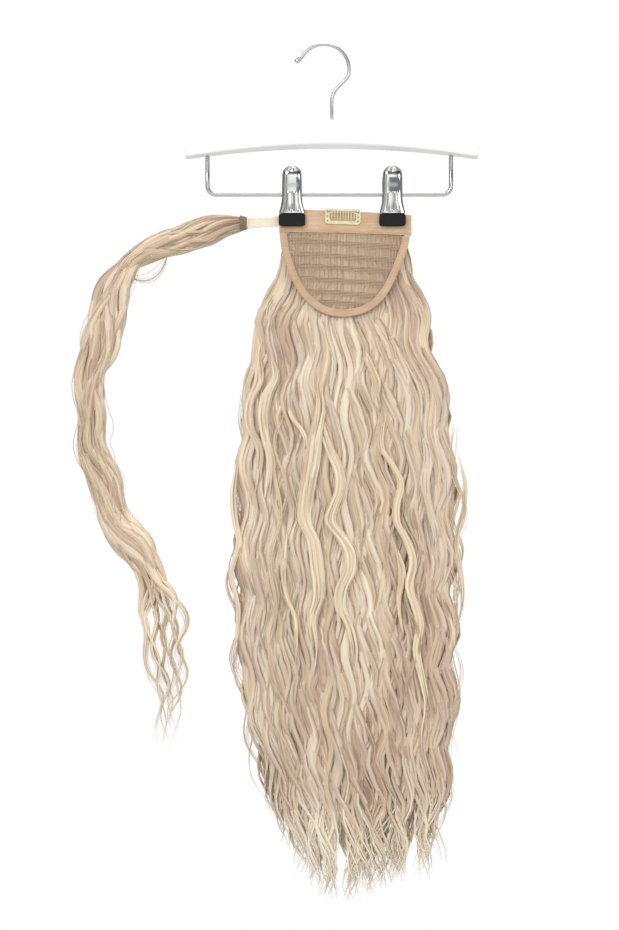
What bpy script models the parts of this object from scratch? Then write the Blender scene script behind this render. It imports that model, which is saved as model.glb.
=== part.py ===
"""Clip-in ponytail hairpiece, held by its top band on a small clip hanger.

The frame is +X to the right, +Y away from the viewer (the hair side) and +Z up. The origin is the
inside crest of the hanger's hook, where it sits on a rail. Sizes are in millimetres, turned to
metres by MM where a mesh is made.
"""

import math

import bmesh
import bpy
from mathutils import Vector

MM = 0.001
GAP = 0.3  # clearance kept between pieces that touch

# Hanger: chrome hook, white moulded body, chrome trouser bar
HOOK_WIRE_R = 1.6
HOOK_INNER_R = 23.5
HOOK_TIP_ANGLE = 158.0
HOOK_LEAVE_ANGLE = -10.0
STEM_X = 7.8
STEM_TOP_Z = -56.0
STEM_DEPTH = 12.0
BODY_HALF_LENGTH = 148.0
BODY_THICKNESS = 11.0
BODY_TOP_Z = -74.5
BODY_TOP_DROP = 24.0
BODY_LOW_Z = -102.8
BODY_LOW_DROP = 10.7
BODY_END_SLANT = 2.0
BODY_EDGE_R = 3.0
BAR_WIRE_R = 2.1
BAR_LEFT_X = -116.5
BAR_RIGHT_X = 127.0
BAR_Z = -148.6
BAR_CORNER_R = 8.5
BAR_SOCKET_DEPTH = 5.0

# Hanger clips: pressed chrome jaws, a coil spring on the bar and rubber tips
CLIP_X = {"left": -32.0, "right": 68.3}
CLIP_BOTTOM_Z = -167.4
JAW_SHEET = 0.9
EAR_OFFSET = {"front": 8.8, "rear": 7.5}
EAR_HEIGHT = 8.0
EAR_PAST_BAR = 3.6
PAD_WIDTH = 26.6
PAD_HEIGHT = 13.1
PAD_THICKNESS = 4.6
SPRING_COIL_R = 3.5
SPRING_WIRE_R = 0.8
SPRING_TURNS = 3.5
SPRING_PITCH = 2.6

# Each row is a level of a hanger clip's jaw: height, half width, and how far it stands off the middle
JAW_LEVELS = [
    # z, half_width, stand_off
    (-121.0, 2.8, 9.6),
    (-122.4, 6.0, 10.6),
    (-125.5, 8.4, 11.2),
    (-130.5, 9.2, 11.2),
    (-137.0, 9.4, 9.9),
    (-143.5, 9.5, 8.0),
    (-149.5, 9.6, 7.0),
    (-156.0, 9.9, 6.9),
    (-162.0, 11.2, 6.2),
    (CLIP_BOTTOM_Z, 12.5, 4.9),
]

# Base of the hairpiece: satin band, net panel, bias binding and weft rows
BAND_LEFT_X = -44.8
BAND_RIGHT_X = 87.4
BAND_THICKNESS = 2.4
BAND_TOP = [
    # x, z
    (BAND_LEFT_X, -164.3),
    (-19.0, -163.6),
    (20.0, -165.0),
    (60.0, -167.1),
    (BAND_RIGHT_X, -169.2),
]
BAND_LOW = [
    # x, z
    (BAND_LEFT_X, -186.1),
    (20.0, -187.1),
    (60.0, -188.4),
    (BAND_RIGHT_X, -189.7),
]
BINDING_WIDTH = 7.6
BINDING_THICKNESS = 2.2
NET_THICKNESS = 1.0
WEFT_LEVELS = [-196.7, -209.8, -221.5, -234.2, -246.6, -256.4]  # at the panel's middle
WEFT_SLOPE = -math.tan(math.radians(4.1))
PANEL_X = 19.0
WEFT_HEIGHT = 3.0
WEFT_THICKNESS = 1.3

# The middle line of the bias binding, from the band's left end round to its right end
BINDING_LINE = [
    # x, z
    (-40.8, -187.2),
    (-38.4, -204.0),
    (-33.4, -220.0),
    (-26.9, -236.0),
    (-17.6, -249.8),
    (-8.1, -258.6),
    (3.4, -264.6),
    (14.3, -267.0),
    (28.0, -266.2),
    (42.5, -261.8),
    (53.4, -253.8),
    (62.0, -242.8),
    (68.8, -229.4),
    (74.6, -216.0),
    (79.6, -202.0),
    (82.2, -190.9),
]

# Snap comb clip, sewn to the front of the band
SNAP_X = 18.9
SNAP_Z = -170.9
SNAP_TILT = math.radians(2.0)
SNAP_SIZE = (35.8, 15.2)
SNAP_WINDOW = (25.6, 7.8)
SNAP_WINDOW_DROP = 0.4
SNAP_SHEET = 0.8
SNAP_HOLE_R = 0.75
SNAP_HOLE_X = 15.3
SNAP_HOLE_Z = 4.3
COMB_ROD_R = 0.55
COMB_ROD_HALF = 14.6
COMB_ROD_Z = 5.9
COMB_TEETH = 9
COMB_PITCH = 2.75
COMB_TOOTH_R = 0.5
KNUCKLE_R = 1.5
KNUCKLE_BORE_R = COMB_ROD_R + GAP
KNUCKLE_X = (13.6, 15.4)

# Wrap strand: satin strap, gathered root and a long loose lock
STRAP_HEIGHT = 10.4
STRAP_THICKNESS = 1.4
STRAP_LEFT = (-76.4, -177.4)
STRAP_RIGHT_Z = -175.2
ROOT_LENGTH = 8.0
ROOT_SIDES = 14
LOCK_FLATNESS = 0.52

# Each row is a station along the wrap strand: where its middle lies and how wide it is there
WRAP_STATIONS = [
    # x, z, width
    (-87.3, -177.8, 17.0),
    (-103.0, -180.6, 25.0),
    (-117.0, -184.6, 31.0),
    (-141.5, -193.0, 28.0),
    (-157.0, -197.8, 26.0),
    (-190.0, -214.0, 21.0),
    (-204.0, -233.0, 27.0),
    (-213.0, -254.0, 37.0),
    (-218.0, -277.0, 40.0),
    (-222.0, -297.0, 38.0),
    (-231.0, -320.0, 32.0),
    (-234.5, -343.0, 31.0),
    (-232.0, -368.0, 27.0),
    (-229.0, -418.0, 29.0),
    (-220.0, -437.0, 33.0),
    (-209.0, -479.0, 31.0),
    (-197.0, -499.0, 31.0),
    (-185.0, -517.0, 27.0),
    (-176.0, -538.0, 25.0),
    (-168.0, -562.0, 32.0),
    (-162.0, -586.0, 38.0),
    (-159.0, -610.0, 34.0),
    (-155.0, -634.0, 28.0),
]
WRAP_LOCKS = [
    # side, wave_height, wave_phase, radius, end_x, end_z
    (-0.62, 2.5, 0.4, 5.6, -165.0, -668.0),
    (-0.25, 3.5, 2.6, 6.2, -159.0, -699.0),
    (0.15, 3.5, 4.4, 6.4, -152.0, -684.0),
    (0.60, 2.5, 1.3, 5.4, -131.0, -656.0),
]

# Each row is a level of the hanging hair: its sides, its front and its back
HAIR_LEVELS = [
    # z, left, right, front, back
    (-184.0, -39.0, 81.0, 2.5, 8.0),
    (-205.0, -44.0, 86.0, 2.5, 15.0),
    (-230.0, -47.0, 91.0, 2.5, 21.0),
    (-252.0, -58.0, 97.0, 2.5, 25.0),
    (-273.0, -68.0, 102.0, 2.5, 28.0),
    (-298.0, -72.0, 108.0, -4.0, 31.0),
    (-330.0, -78.0, 117.0, -9.0, 33.0),
    (-375.0, -85.0, 129.0, -11.0, 34.0),
    (-450.0, -86.0, 135.0, -11.0, 34.0),
    (-550.0, -86.0, 133.0, -11.0, 33.0),
    (-640.0, -84.0, 131.0, -10.0, 30.0),
    (-700.0, -73.0, 127.0, -8.0, 27.0),
    (-750.0, -59.0, 121.0, -6.0, 23.0),
    (-790.0, -44.0, 117.0, -3.0, 19.0),
    (-822.0, -20.0, 108.0, 0.0, 15.0),
    (-860.0, 0.0, 90.0, 3.0, 12.0),
]
HAIR_CORE_END_Z = -806.0
HAIR_SHAPE = 2.4  # exponent of each level's rounded-box outline
HAIR_LOCK_R = 7.6
HAIR_WAVE_LENGTH = 118.0
HAIR_WAVE_HEIGHT = 5.0
HAIR_LOCK_PHASE = 2.5  # radians from one lock's wave to the next
FRONT_LOCK_TOP_Z = -278.0
REAR_LOCK_TOP_Z = -200.0
LOCK_POINTS = 12

# Where each lock of the hanging hair leaves the core, in degrees round it, and where its tip ends
HAIR_LOCKS = [
    # around, top_z, tip_z
    (204.0, FRONT_LOCK_TOP_Z, -806.0),
    (222.0, FRONT_LOCK_TOP_Z, -826.0),
    (238.0, FRONT_LOCK_TOP_Z, -843.0),
    (252.0, FRONT_LOCK_TOP_Z, -838.0),
    (266.0, FRONT_LOCK_TOP_Z, -846.0),
    (280.0, FRONT_LOCK_TOP_Z, -829.0),
    (294.0, FRONT_LOCK_TOP_Z, -843.0),
    (309.0, FRONT_LOCK_TOP_Z, -831.0),
    (328.0, FRONT_LOCK_TOP_Z, -812.0),
    (352.0, REAR_LOCK_TOP_Z, -807.0),
    (20.0, REAR_LOCK_TOP_Z, -822.0),
    (45.0, REAR_LOCK_TOP_Z, -836.0),
    (70.0, REAR_LOCK_TOP_Z, -842.0),
    (95.0, REAR_LOCK_TOP_Z, -834.0),
    (120.0, REAR_LOCK_TOP_Z, -826.0),
    (145.0, REAR_LOCK_TOP_Z, -813.0),
    (172.0, REAR_LOCK_TOP_Z, -798.0),
]

PARTS = "ponytail_hairpiece"
CUTTERS = "cutters"


def clear_scene():
    """Removes whatever the scene holds and makes the two collections."""
    for obj in list(bpy.data.objects):
        bpy.data.objects.remove(obj)
    for name in (PARTS, CUTTERS):
        collection = bpy.data.collections.new(name)
        bpy.context.scene.collection.children.link(collection)
    bpy.data.collections[CUTTERS].hide_render = True


def material(name, colour, roughness, metallic=0.0):
    """A Principled material with one colour."""
    made = bpy.data.materials.new(name)
    made.use_nodes = True
    shader = made.node_tree.nodes["Principled BSDF"]
    shader.inputs["Base Color"].default_value = (*colour, 1.0)
    shader.inputs["Roughness"].default_value = roughness
    shader.inputs["Metallic"].default_value = metallic
    return made


def place(obj, look=None, collection=PARTS):
    """Links an object to its collection and gives it its material."""
    bpy.data.collections[collection].objects.link(obj)
    if look:
        obj.data.materials.append(look)
    if collection == CUTTERS:
        obj.hide_render = True
        obj.display_type = "WIRE"
    return obj


def wire(name, points, radius, look=None, radii=None, sides=8, collection=PARTS):
    """A round bar along points; radii scale its radius at each point."""
    data = bpy.data.curves.new(name, "CURVE")
    data.dimensions = "3D"
    data.bevel_depth = radius * MM
    data.bevel_resolution = (sides - 4) // 2
    data.use_fill_caps = True
    spline = data.splines.new("POLY")
    spline.points.add(len(points) - 1)
    for i, (target, point) in enumerate(zip(spline.points, points)):
        target.co = (*(Vector(point) * MM), 1.0)
        target.radius = radii[i] if radii else 1.0
    return place(bpy.data.objects.new(name, data), look, collection)


def flat_plate(name, outlines, thickness, look=None):
    """A plate in the XZ plane from closed outlines; an outline inside another is a hole."""
    data = bpy.data.curves.new(name, "CURVE")
    data.dimensions = "2D"
    data.fill_mode = "BOTH"
    data.extrude = thickness * MM / 2
    for outline in outlines:
        spline = data.splines.new("POLY")
        spline.points.add(len(outline) - 1)
        spline.use_cyclic_u = True
        for target, (x, z) in zip(spline.points, outline):
            target.co = (x * MM, z * MM, 0.0, 1.0)
    obj = place(bpy.data.objects.new(name, data), look)
    obj.rotation_euler = (math.pi / 2, 0.0, 0.0)
    return obj


def as_mesh(curve):
    """Turns a curve object into a mesh object of the same name, with its loose caps welded."""
    bpy.context.view_layer.update()
    graph = bpy.context.evaluated_depsgraph_get()
    name, matrix, look = curve.name, curve.matrix_world.copy(), curve.active_material
    mesh = bpy.data.meshes.new_from_object(curve.evaluated_get(graph))
    collection = curve.users_collection[0].name
    bpy.data.objects.remove(curve)
    work = bmesh.new()
    work.from_mesh(mesh)
    bmesh.ops.remove_doubles(work, verts=work.verts, dist=1e-6)
    bmesh.ops.recalc_face_normals(work, faces=work.faces)
    work.to_mesh(mesh)
    work.free()
    mesh.materials.clear()
    obj = place(bpy.data.objects.new(name, mesh), look, collection)
    obj.matrix_world = matrix
    return obj


def loft(name, rings, look=None, collection=PARTS):
    """A closed body through rings that all have the same number of points."""
    work = bmesh.new()
    loops = [[work.verts.new(Vector(p) * MM) for p in ring] for ring in rings]
    count = len(rings[0])
    for low, high in zip(loops, loops[1:]):
        for i in range(count):
            j = (i + 1) % count
            work.faces.new((low[i], low[j], high[j], high[i]))
    work.faces.new(loops[0])
    work.faces.new(loops[-1])
    bmesh.ops.triangulate(work, faces=[f for f in work.faces if len(f.verts) > 4])
    bmesh.ops.recalc_face_normals(work, faces=work.faces)
    mesh = bpy.data.meshes.new(name)
    work.to_mesh(mesh)
    work.free()
    return place(bpy.data.objects.new(name, mesh), look, collection)


def boolean(obj, operation, other):
    """Adds an exact Boolean with one object, or with all of a collection."""
    modifier = obj.modifiers.new(operation.lower(), "BOOLEAN")
    modifier.operation = operation
    modifier.solver = "EXACT"
    if isinstance(other, bpy.types.Collection):
        modifier.operand_type = "COLLECTION"
        modifier.collection = other
    else:
        modifier.object = other
    return modifier


def bevel(obj, width, segments=2):
    """Rounds the edges that turn by more than 40 degrees."""
    modifier = obj.modifiers.new("rounded edges", "BEVEL")
    modifier.width = width * MM
    modifier.segments = segments
    modifier.limit_method = "ANGLE"
    modifier.angle_limit = math.radians(40.0)


def smooth(obj):
    """Shades a mesh smooth, with its sharp edges kept."""
    obj.data.shade_smooth()
    obj.data.set_sharp_from_angle(angle=math.radians(40.0))
    return obj


def arc(centre, radius, start, end, steps):
    """Points on an arc in the XZ plane, its angles in degrees."""
    points = []
    for i in range(steps + 1):
        angle = math.radians(start + (end - start) * i / steps)
        points.append((centre[0] + radius * math.cos(angle), centre[1] + radius * math.sin(angle)))
    return points


def in_plane(points, y=0.0):
    """Turns (x, z) points into (x, y, z) points."""
    return [(x, y, z) for x, z in points]


def bezier(start, lead, trail, end, steps):
    """Points along a cubic curve in the XZ plane, its start left out."""
    points = []
    for i in range(1, steps + 1):
        t = i / steps
        weights = ((1 - t) ** 3, 3 * t * (1 - t) ** 2, 3 * t * t * (1 - t), t**3)
        knots = (start, lead, trail, end)
        points.append(tuple(sum(w * k[axis] for w, k in zip(weights, knots)) for axis in (0, 1)))
    return points


def rounded_box(width, height, radius, centre=(0.0, 0.0), steps=3):
    """The outline of a rectangle with round corners."""
    outline = []
    for turn in range(4):
        angle = math.radians(90.0 * turn)
        sign_x = 1 if turn in (0, 3) else -1
        sign_z = 1 if turn in (0, 1) else -1
        corner = (
            centre[0] + sign_x * (width / 2 - radius),
            centre[1] + sign_z * (height / 2 - radius),
        )
        outline += arc(corner, radius, math.degrees(angle), math.degrees(angle) + 90.0, steps)
    return outline


def interpolate(rows, z):
    """Reads a table of levels at height z, eased between its rows."""
    if z >= rows[0][0]:
        return list(rows[0][1:])
    for upper, lower in zip(rows, rows[1:]):
        if z >= lower[0]:
            t = (upper[0] - z) / (upper[0] - lower[0])
            return [a + (b - a) * t for a, b in zip(upper[1:], lower[1:])]
    return list(rows[-1][1:])


def make_hook(look):
    """The chrome hook: a bead at its tip, three quarters of a turn, a bend and its stem."""
    radius = HOOK_INNER_R + HOOK_WIRE_R
    centre = (0.0, -HOOK_INNER_R)
    turn = arc(centre, radius, HOOK_TIP_ANGLE - 8.0, HOOK_LEAVE_ANGLE, 16)
    lip = [(-28.3, -16.0), (-27.2, -15.0), (-26.0, -13.9), (-24.8, -12.8)]
    leave = math.radians(HOOK_LEAVE_ANGLE)
    lead = (turn[-1][0] + 8.7 * math.sin(leave), turn[-1][1] - 8.7 * math.cos(leave))
    bend = bezier(turn[-1], lead, (STEM_X, STEM_TOP_Z + 15.0), (STEM_X, STEM_TOP_Z), 7)
    path = lip + turn + bend + [(STEM_X, BODY_TOP_Z - STEM_DEPTH + 1.0)]
    radii = [0.75, 1.45, 1.5, 1.0] + [1.0] * (len(path) - 4)
    wire("hook", in_plane(path), HOOK_WIRE_R, look, radii)


def body_outline():
    """The hanger body seen from the front: two shallow arches and slanted ends."""
    steps = 14
    lower, upper = [], []
    for i in range(steps + 1):
        across = -1.0 + 2.0 * i / steps
        low_x = STEM_X + across * (BODY_HALF_LENGTH - BODY_END_SLANT)
        lower.append((low_x, BODY_LOW_Z - BODY_LOW_DROP * across**2))
        top_x = STEM_X - across * BODY_HALF_LENGTH
        upper.append((top_x, BODY_TOP_Z - BODY_TOP_DROP * abs(across) ** 1.6))
    return lower + upper


def make_hanger_body(look):
    """The white body, with blind holes for the hook's stem and the bar's ends."""
    body = as_mesh(flat_plate("hanger_body", [body_outline()], BODY_THICKNESS, look))
    bevel(body, BODY_EDGE_R, 2)
    holes = bpy.data.collections.new("body_holes")
    bpy.data.collections[CUTTERS].children.link(holes)
    bar_low = bar_socket_z(BAR_LEFT_X)
    drills = [
        ("stem_hole", STEM_X, BODY_TOP_Z - STEM_DEPTH, BODY_TOP_Z + 5.0, HOOK_WIRE_R),
        ("left_hole", BAR_LEFT_X, bar_low, bar_low - BAR_SOCKET_DEPTH - 6.0, BAR_WIRE_R),
        ("right_hole", BAR_RIGHT_X, bar_low, bar_low - BAR_SOCKET_DEPTH - 6.0, BAR_WIRE_R),
    ]
    for name, x, z_in, z_out, radius in drills:
        drill = as_mesh(wire(name, [(x, 0, z_in), (x, 0, z_out)], radius + GAP, collection=CUTTERS))
        bpy.data.collections[CUTTERS].objects.unlink(drill)
        holes.objects.link(drill)
    boolean(body, "DIFFERENCE", holes)
    smooth(body)


def bar_socket_z(x):
    """The height of the blind end of the bar's socket in the body."""
    across = (x - STEM_X) / BODY_HALF_LENGTH
    return BODY_LOW_Z - BODY_LOW_DROP * across**2 + BAR_SOCKET_DEPTH


def make_hanger_bar(look):
    """The trouser bar: one wire with two round corners, its ends in the body."""
    top = bar_socket_z(BAR_LEFT_X) - GAP * 3
    inner = BAR_Z + BAR_CORNER_R
    left = arc((BAR_LEFT_X + BAR_CORNER_R, inner), BAR_CORNER_R, 180.0, 270.0, 6)
    right = arc((BAR_RIGHT_X - BAR_CORNER_R, inner), BAR_CORNER_R, 270.0, 360.0, 6)
    path = [(BAR_LEFT_X, top)] + left + right + [(BAR_RIGHT_X, top)]
    wire("hanger_bar", in_plane(path), BAR_WIRE_R, look)


def make_ear(name, x, y_from, y_to, group):
    """A flat ear on a jaw, which the bar passes through."""
    mesh = bpy.data.meshes.new(name)
    work = bmesh.new()
    bmesh.ops.create_cube(work, size=1.0)
    size = Vector((JAW_SHEET, abs(y_to - y_from), EAR_HEIGHT)) * MM
    bmesh.ops.scale(work, vec=size, verts=work.verts)
    centre = Vector((x, (y_from + y_to) / 2, BAR_Z)) * MM
    bmesh.ops.translate(work, vec=centre, verts=work.verts)
    work.to_mesh(mesh)
    work.free()
    ear = bpy.data.objects.new(name, mesh)
    group.objects.link(ear)
    ear.hide_render = True
    ear.display_type = "WIRE"


def make_jaw(name, x, side, ear_offset, look):
    """One pressed jaw: a channel with two ribs down its lower half and two ears round the bar."""
    across_steps = 6
    work = bmesh.new()
    rows = []
    for z, half_width, stand_off in JAW_LEVELS:
        row = []
        flange = min(1.0, (stand_off - 2.0) / 5.0) * 2.6
        ribbed = 0.8 if -163.0 < z < -147.0 else 0.0
        for i in range(across_steps + 1):
            u = -1.0 + 2.0 * i / across_steps
            turned_in = flange * abs(u) ** 5
            rib = ribbed * (1.0 if abs(abs(u) - 0.33) < 0.1 else 0.0)
            y = side * (stand_off - turned_in + rib)
            row.append(work.verts.new(Vector((x + u * half_width, y, z)) * MM))
        rows.append(row)
    for upper, lower in zip(rows, rows[1:]):
        for i in range(across_steps):
            work.faces.new((upper[i], lower[i], lower[i + 1], upper[i + 1]))
    bmesh.ops.recalc_face_normals(work, faces=work.faces)
    mesh = bpy.data.meshes.new(name)
    work.to_mesh(mesh)
    work.free()
    jaw = place(bpy.data.objects.new(name, mesh), look)
    sheet = jaw.modifiers.new("sheet", "SOLIDIFY")
    sheet.thickness = JAW_SHEET * MM
    sheet.offset = 0.0
    ears = bpy.data.collections.new(f"{name}_ears")
    bpy.data.collections[CUTTERS].children.link(ears)
    for which, offset in (("left", -ear_offset), ("right", ear_offset)):
        make_ear(f"{name}_{which}_ear", x + offset, side * 5.6, -side * EAR_PAST_BAR, ears)
    boolean(jaw, "UNION", ears)
    reach = ear_offset + 2.0
    line = [(x - reach, 0.0, BAR_Z), (x + reach, 0.0, BAR_Z)]
    bore = as_mesh(wire(f"{name}_bore", line, BAR_WIRE_R + GAP, collection=CUTTERS))
    boolean(jaw, "DIFFERENCE", bore)
    smooth(jaw)


def make_clip(which, chrome, rubber):
    """A hanger clip: front and rear jaws with rubber tips, and the spring on the bar."""
    x = CLIP_X[which]
    for face, side in (("front", -1.0), ("rear", 1.0)):
        make_jaw(f"clip_{which}_{face}_jaw", x, side, EAR_OFFSET[face], chrome)
        outline = rounded_box(PAD_WIDTH, PAD_HEIGHT, 2.4, steps=2)
        pad = as_mesh(flat_plate(f"clip_{which}_{face}_pad", [outline], PAD_THICKNESS, rubber))
        stand_off = BAND_THICKNESS / 2 + GAP + PAD_THICKNESS / 2
        pad.location = (
            x * MM,
            side * stand_off * MM,
            (CLIP_BOTTOM_Z - GAP - PAD_HEIGHT / 2) * MM,
        )
        bevel(pad, 0.9, 1)
        smooth(pad)
    coil = []
    steps = int(SPRING_TURNS * 8)
    for i in range(steps + 1):
        angle = 2 * math.pi * i / 8
        along = (i / steps - 0.5) * SPRING_TURNS * SPRING_PITCH
        coil.append(
            (
                x + along,
                SPRING_COIL_R * math.cos(angle),
                BAR_Z + SPRING_COIL_R * math.sin(angle),
            )
        )
    wire(f"clip_{which}_spring", coil, SPRING_WIRE_R, chrome, sides=6)


def make_band(look):
    """The satin band across the top of the base, which drops a little towards its right end."""
    band = as_mesh(flat_plate("top_band", [BAND_TOP + BAND_LOW[::-1]], BAND_THICKNESS, look))
    bevel(band, 0.8, 2)
    smooth(band)


def curve_through(points, steps):
    """A smooth curve through points, with the same number of steps between each two of them."""
    line = []
    last = len(points) - 1
    for i in range(last):
        before, start, end, after = (
            Vector(points[max(0, min(last, k))]) for k in (i - 1, i, i + 1, i + 2)
        )
        for step in range(steps):
            t = step / steps
            line.append(
                start * (2 * t**3 - 3 * t**2 + 1)
                + (end - before) * 0.5 * (t**3 - 2 * t**2 + t)
                + end * (3 * t**2 - 2 * t**3)
                + (after - start) * 0.5 * (t**3 - t**2)
            )
    return line + [Vector(points[-1])]


def binding_edge(inset, steps=2):
    """The binding's middle line moved inwards by inset, from the left end round to the right."""
    line = curve_through(BINDING_LINE, steps)
    edge = []
    for i, point in enumerate(line):
        run = (line[min(i + 1, len(line) - 1)] - line[max(i - 1, 0)]).normalized()
        edge.append(tuple(point + Vector((-run.y, run.x)) * inset))
    return edge


def make_net_panel(look):
    """The D-shaped net inside the binding, its top just below the band."""
    edge = binding_edge(BINDING_WIDTH / 2 + GAP)
    middle = [(x, z - GAP) for x, z in BAND_LOW[1:-1]]
    left, right = edge[0][0], edge[-1][0]
    corners = [(right, BAND_LOW[-1][1] - GAP), *middle[::-1], (left, BAND_LOW[0][1] - 2 * GAP)]
    smooth(as_mesh(flat_plate("net_panel", [edge + corners], NET_THICKNESS, look)))


def make_binding(look):
    """The bias binding sewn round the net's curved edge."""
    outer, inner = binding_edge(-BINDING_WIDTH / 2), binding_edge(BINDING_WIDTH / 2)
    binding = as_mesh(flat_plate("net_binding", [outer + inner[::-1]], BINDING_THICKNESS, look))
    bevel(binding, 0.8, 1)
    smooth(binding)


def weft_span(level):
    """How far a weft row at a level reaches to each side before it meets the binding."""
    edge = binding_edge(BINDING_WIDTH / 2, 40)
    margin = WEFT_HEIGHT / 2 + 0.6
    met = [x for x, z in edge if abs(z - level - WEFT_SLOPE * (x - PANEL_X)) < margin]
    left = max(x for x in met if x < PANEL_X)
    right = min(x for x in met if x > PANEL_X)
    return left + 0.6, right - 0.6


def make_wefts(look):
    """The machine-sewn rows that carry the hair, behind the net, each falling to the right."""
    y = NET_THICKNESS / 2 + GAP + WEFT_THICKNESS / 2
    for number, level in enumerate(WEFT_LEVELS, 1):
        left, right = weft_span(level)
        middle = (left + right) / 2
        length = (right - left) * math.hypot(1.0, WEFT_SLOPE)
        outline = rounded_box(length, WEFT_HEIGHT, 1.0, steps=2)
        row = as_mesh(flat_plate(f"weft_row_{number}", [outline], WEFT_THICKNESS, look))
        row.location = (middle * MM, y * MM, (level + WEFT_SLOPE * (middle - PANEL_X)) * MM)
        row.rotation_euler.y = -math.atan(WEFT_SLOPE)
        smooth(row)


def make_snap_clip(look):
    """The snap clip: a pierced frame with two knuckles, and the comb that turns in them."""
    hinge = bpy.data.objects.new("snap_hinge", None)
    bpy.data.collections[PARTS].objects.link(hinge)
    hinge.location = (SNAP_X * MM, 0.0, SNAP_Z * MM)
    hinge.rotation_euler.y = SNAP_TILT
    sheet_y = -(BAND_THICKNESS / 2 + GAP + SNAP_SHEET / 2)
    rod_y = sheet_y - SNAP_SHEET / 2 - GAP - COMB_ROD_R

    holes = [
        arc((side * SNAP_HOLE_X, level * SNAP_HOLE_Z), SNAP_HOLE_R, 0.0, 315.0, 7)
        for side in (-1, 1)
        for level in (-1, 0, 1)
    ]
    window = rounded_box(*SNAP_WINDOW, 1.6, (0.0, -SNAP_WINDOW_DROP), 2)
    outlines = [rounded_box(*SNAP_SIZE, 3.6)] + [window] + holes
    frame = as_mesh(flat_plate("snap_frame", outlines, SNAP_SHEET, look))
    frame.parent = hinge
    frame.location.y = sheet_y * MM
    knuckles = bpy.data.collections.new("knuckles")
    bores = bpy.data.collections.new("knuckle_bores")
    for group in (knuckles, bores):
        bpy.data.collections[CUTTERS].children.link(group)
    for side in (-1, 1):
        ends = [side * x for x in KNUCKLE_X]
        reach = [side * (KNUCKLE_X[0] - 1.0), side * (KNUCKLE_X[1] + 1.0)]
        shapes = ((knuckles, "knuckle", ends, KNUCKLE_R), (bores, "bore", reach, KNUCKLE_BORE_R))
        for group, kind, span, radius in shapes:
            points = [(x, rod_y, COMB_ROD_Z) for x in span]
            name = f"{kind}_{'left' if side < 0 else 'right'}"
            shape = as_mesh(wire(name, points, radius, collection=CUTTERS))
            bpy.data.collections[CUTTERS].objects.unlink(shape)
            group.objects.link(shape)
            shape.parent = hinge
    boolean(frame, "UNION", knuckles)
    boolean(frame, "DIFFERENCE", bores)
    smooth(frame)

    rod_ends = [(-COMB_ROD_HALF, rod_y, COMB_ROD_Z), (COMB_ROD_HALF, rod_y, COMB_ROD_Z)]
    comb = as_mesh(wire("snap_comb", rod_ends, COMB_ROD_R, look))
    comb.parent = hinge
    teeth = bpy.data.collections.new("comb_teeth")
    bpy.data.collections[CUTTERS].children.link(teeth)
    # Down a tooth: how far in front of the rod it stands, and its height below the rod
    tooth_line = [(0.15, 0.0), (1.1, -1.3), (1.3, -4.0), (0.8, -6.8), (0.1, -8.9)]
    for number in range(COMB_TEETH):
        x = (number - (COMB_TEETH - 1) / 2) * COMB_PITCH
        points = [(x, rod_y - forward, COMB_ROD_Z + drop) for forward, drop in tooth_line]
        radii = [1.0, 1.0, 1.0, 0.9, 0.6]
        name = f"tooth_{number}"
        tooth = as_mesh(wire(name, points, COMB_TOOTH_R, radii=radii, sides=6, collection=CUTTERS))
        bpy.data.collections[CUTTERS].objects.unlink(tooth)
        teeth.objects.link(tooth)
        tooth.parent = hinge
    boolean(comb, "UNION", teeth)
    smooth(comb)


def make_wrap_strap(look):
    """The strap from the band's left end to the wrap strand."""
    left_x, left_z = STRAP_LEFT
    right_x = BAND_LEFT_X - GAP
    half = STRAP_HEIGHT / 2
    outline = [
        (left_x, left_z - half),
        (right_x, STRAP_RIGHT_Z - half),
        (right_x, STRAP_RIGHT_Z + half),
        (left_x, left_z + half),
    ]
    strap = as_mesh(flat_plate("wrap_strap", [outline], STRAP_THICKNESS, look))
    bevel(strap, 0.4, 1)
    smooth(strap)


def make_wrap_root(look):
    """The gathered root of the wrap strand, stitched over the strap's end."""
    x_right, z = STRAP_LEFT[0] - GAP, STRAP_LEFT[1]
    rings = []
    for share, half_height, half_depth in ((0.0, 6.6, 3.2), (0.35, 8.2, 4.2), (1.0, 9.0, 4.6)):
        x = x_right - share * ROOT_LENGTH
        ring = []
        for i in range(ROOT_SIDES):
            angle = 2 * math.pi * i / ROOT_SIDES
            ring.append((x, half_depth * math.cos(angle), z + half_height * math.sin(angle)))
        rings.append(ring)
    smooth(loft("wrap_root", rings, look))


def wrap_frames():
    """For each station of the wrap strand: its middle, the direction across it and its width."""
    frames = []
    last = len(WRAP_STATIONS) - 1
    for i, (x, z, width) in enumerate(WRAP_STATIONS):
        before, after = WRAP_STATIONS[max(0, i - 1)], WRAP_STATIONS[min(last, i + 1)]
        run = Vector((after[0] - before[0], 0.0, after[1] - before[1])).normalized()
        across = Vector((-run.z, 0.0, run.x))
        frames.append((Vector((x, 0.0, z)), across, width))
    return frames


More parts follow.
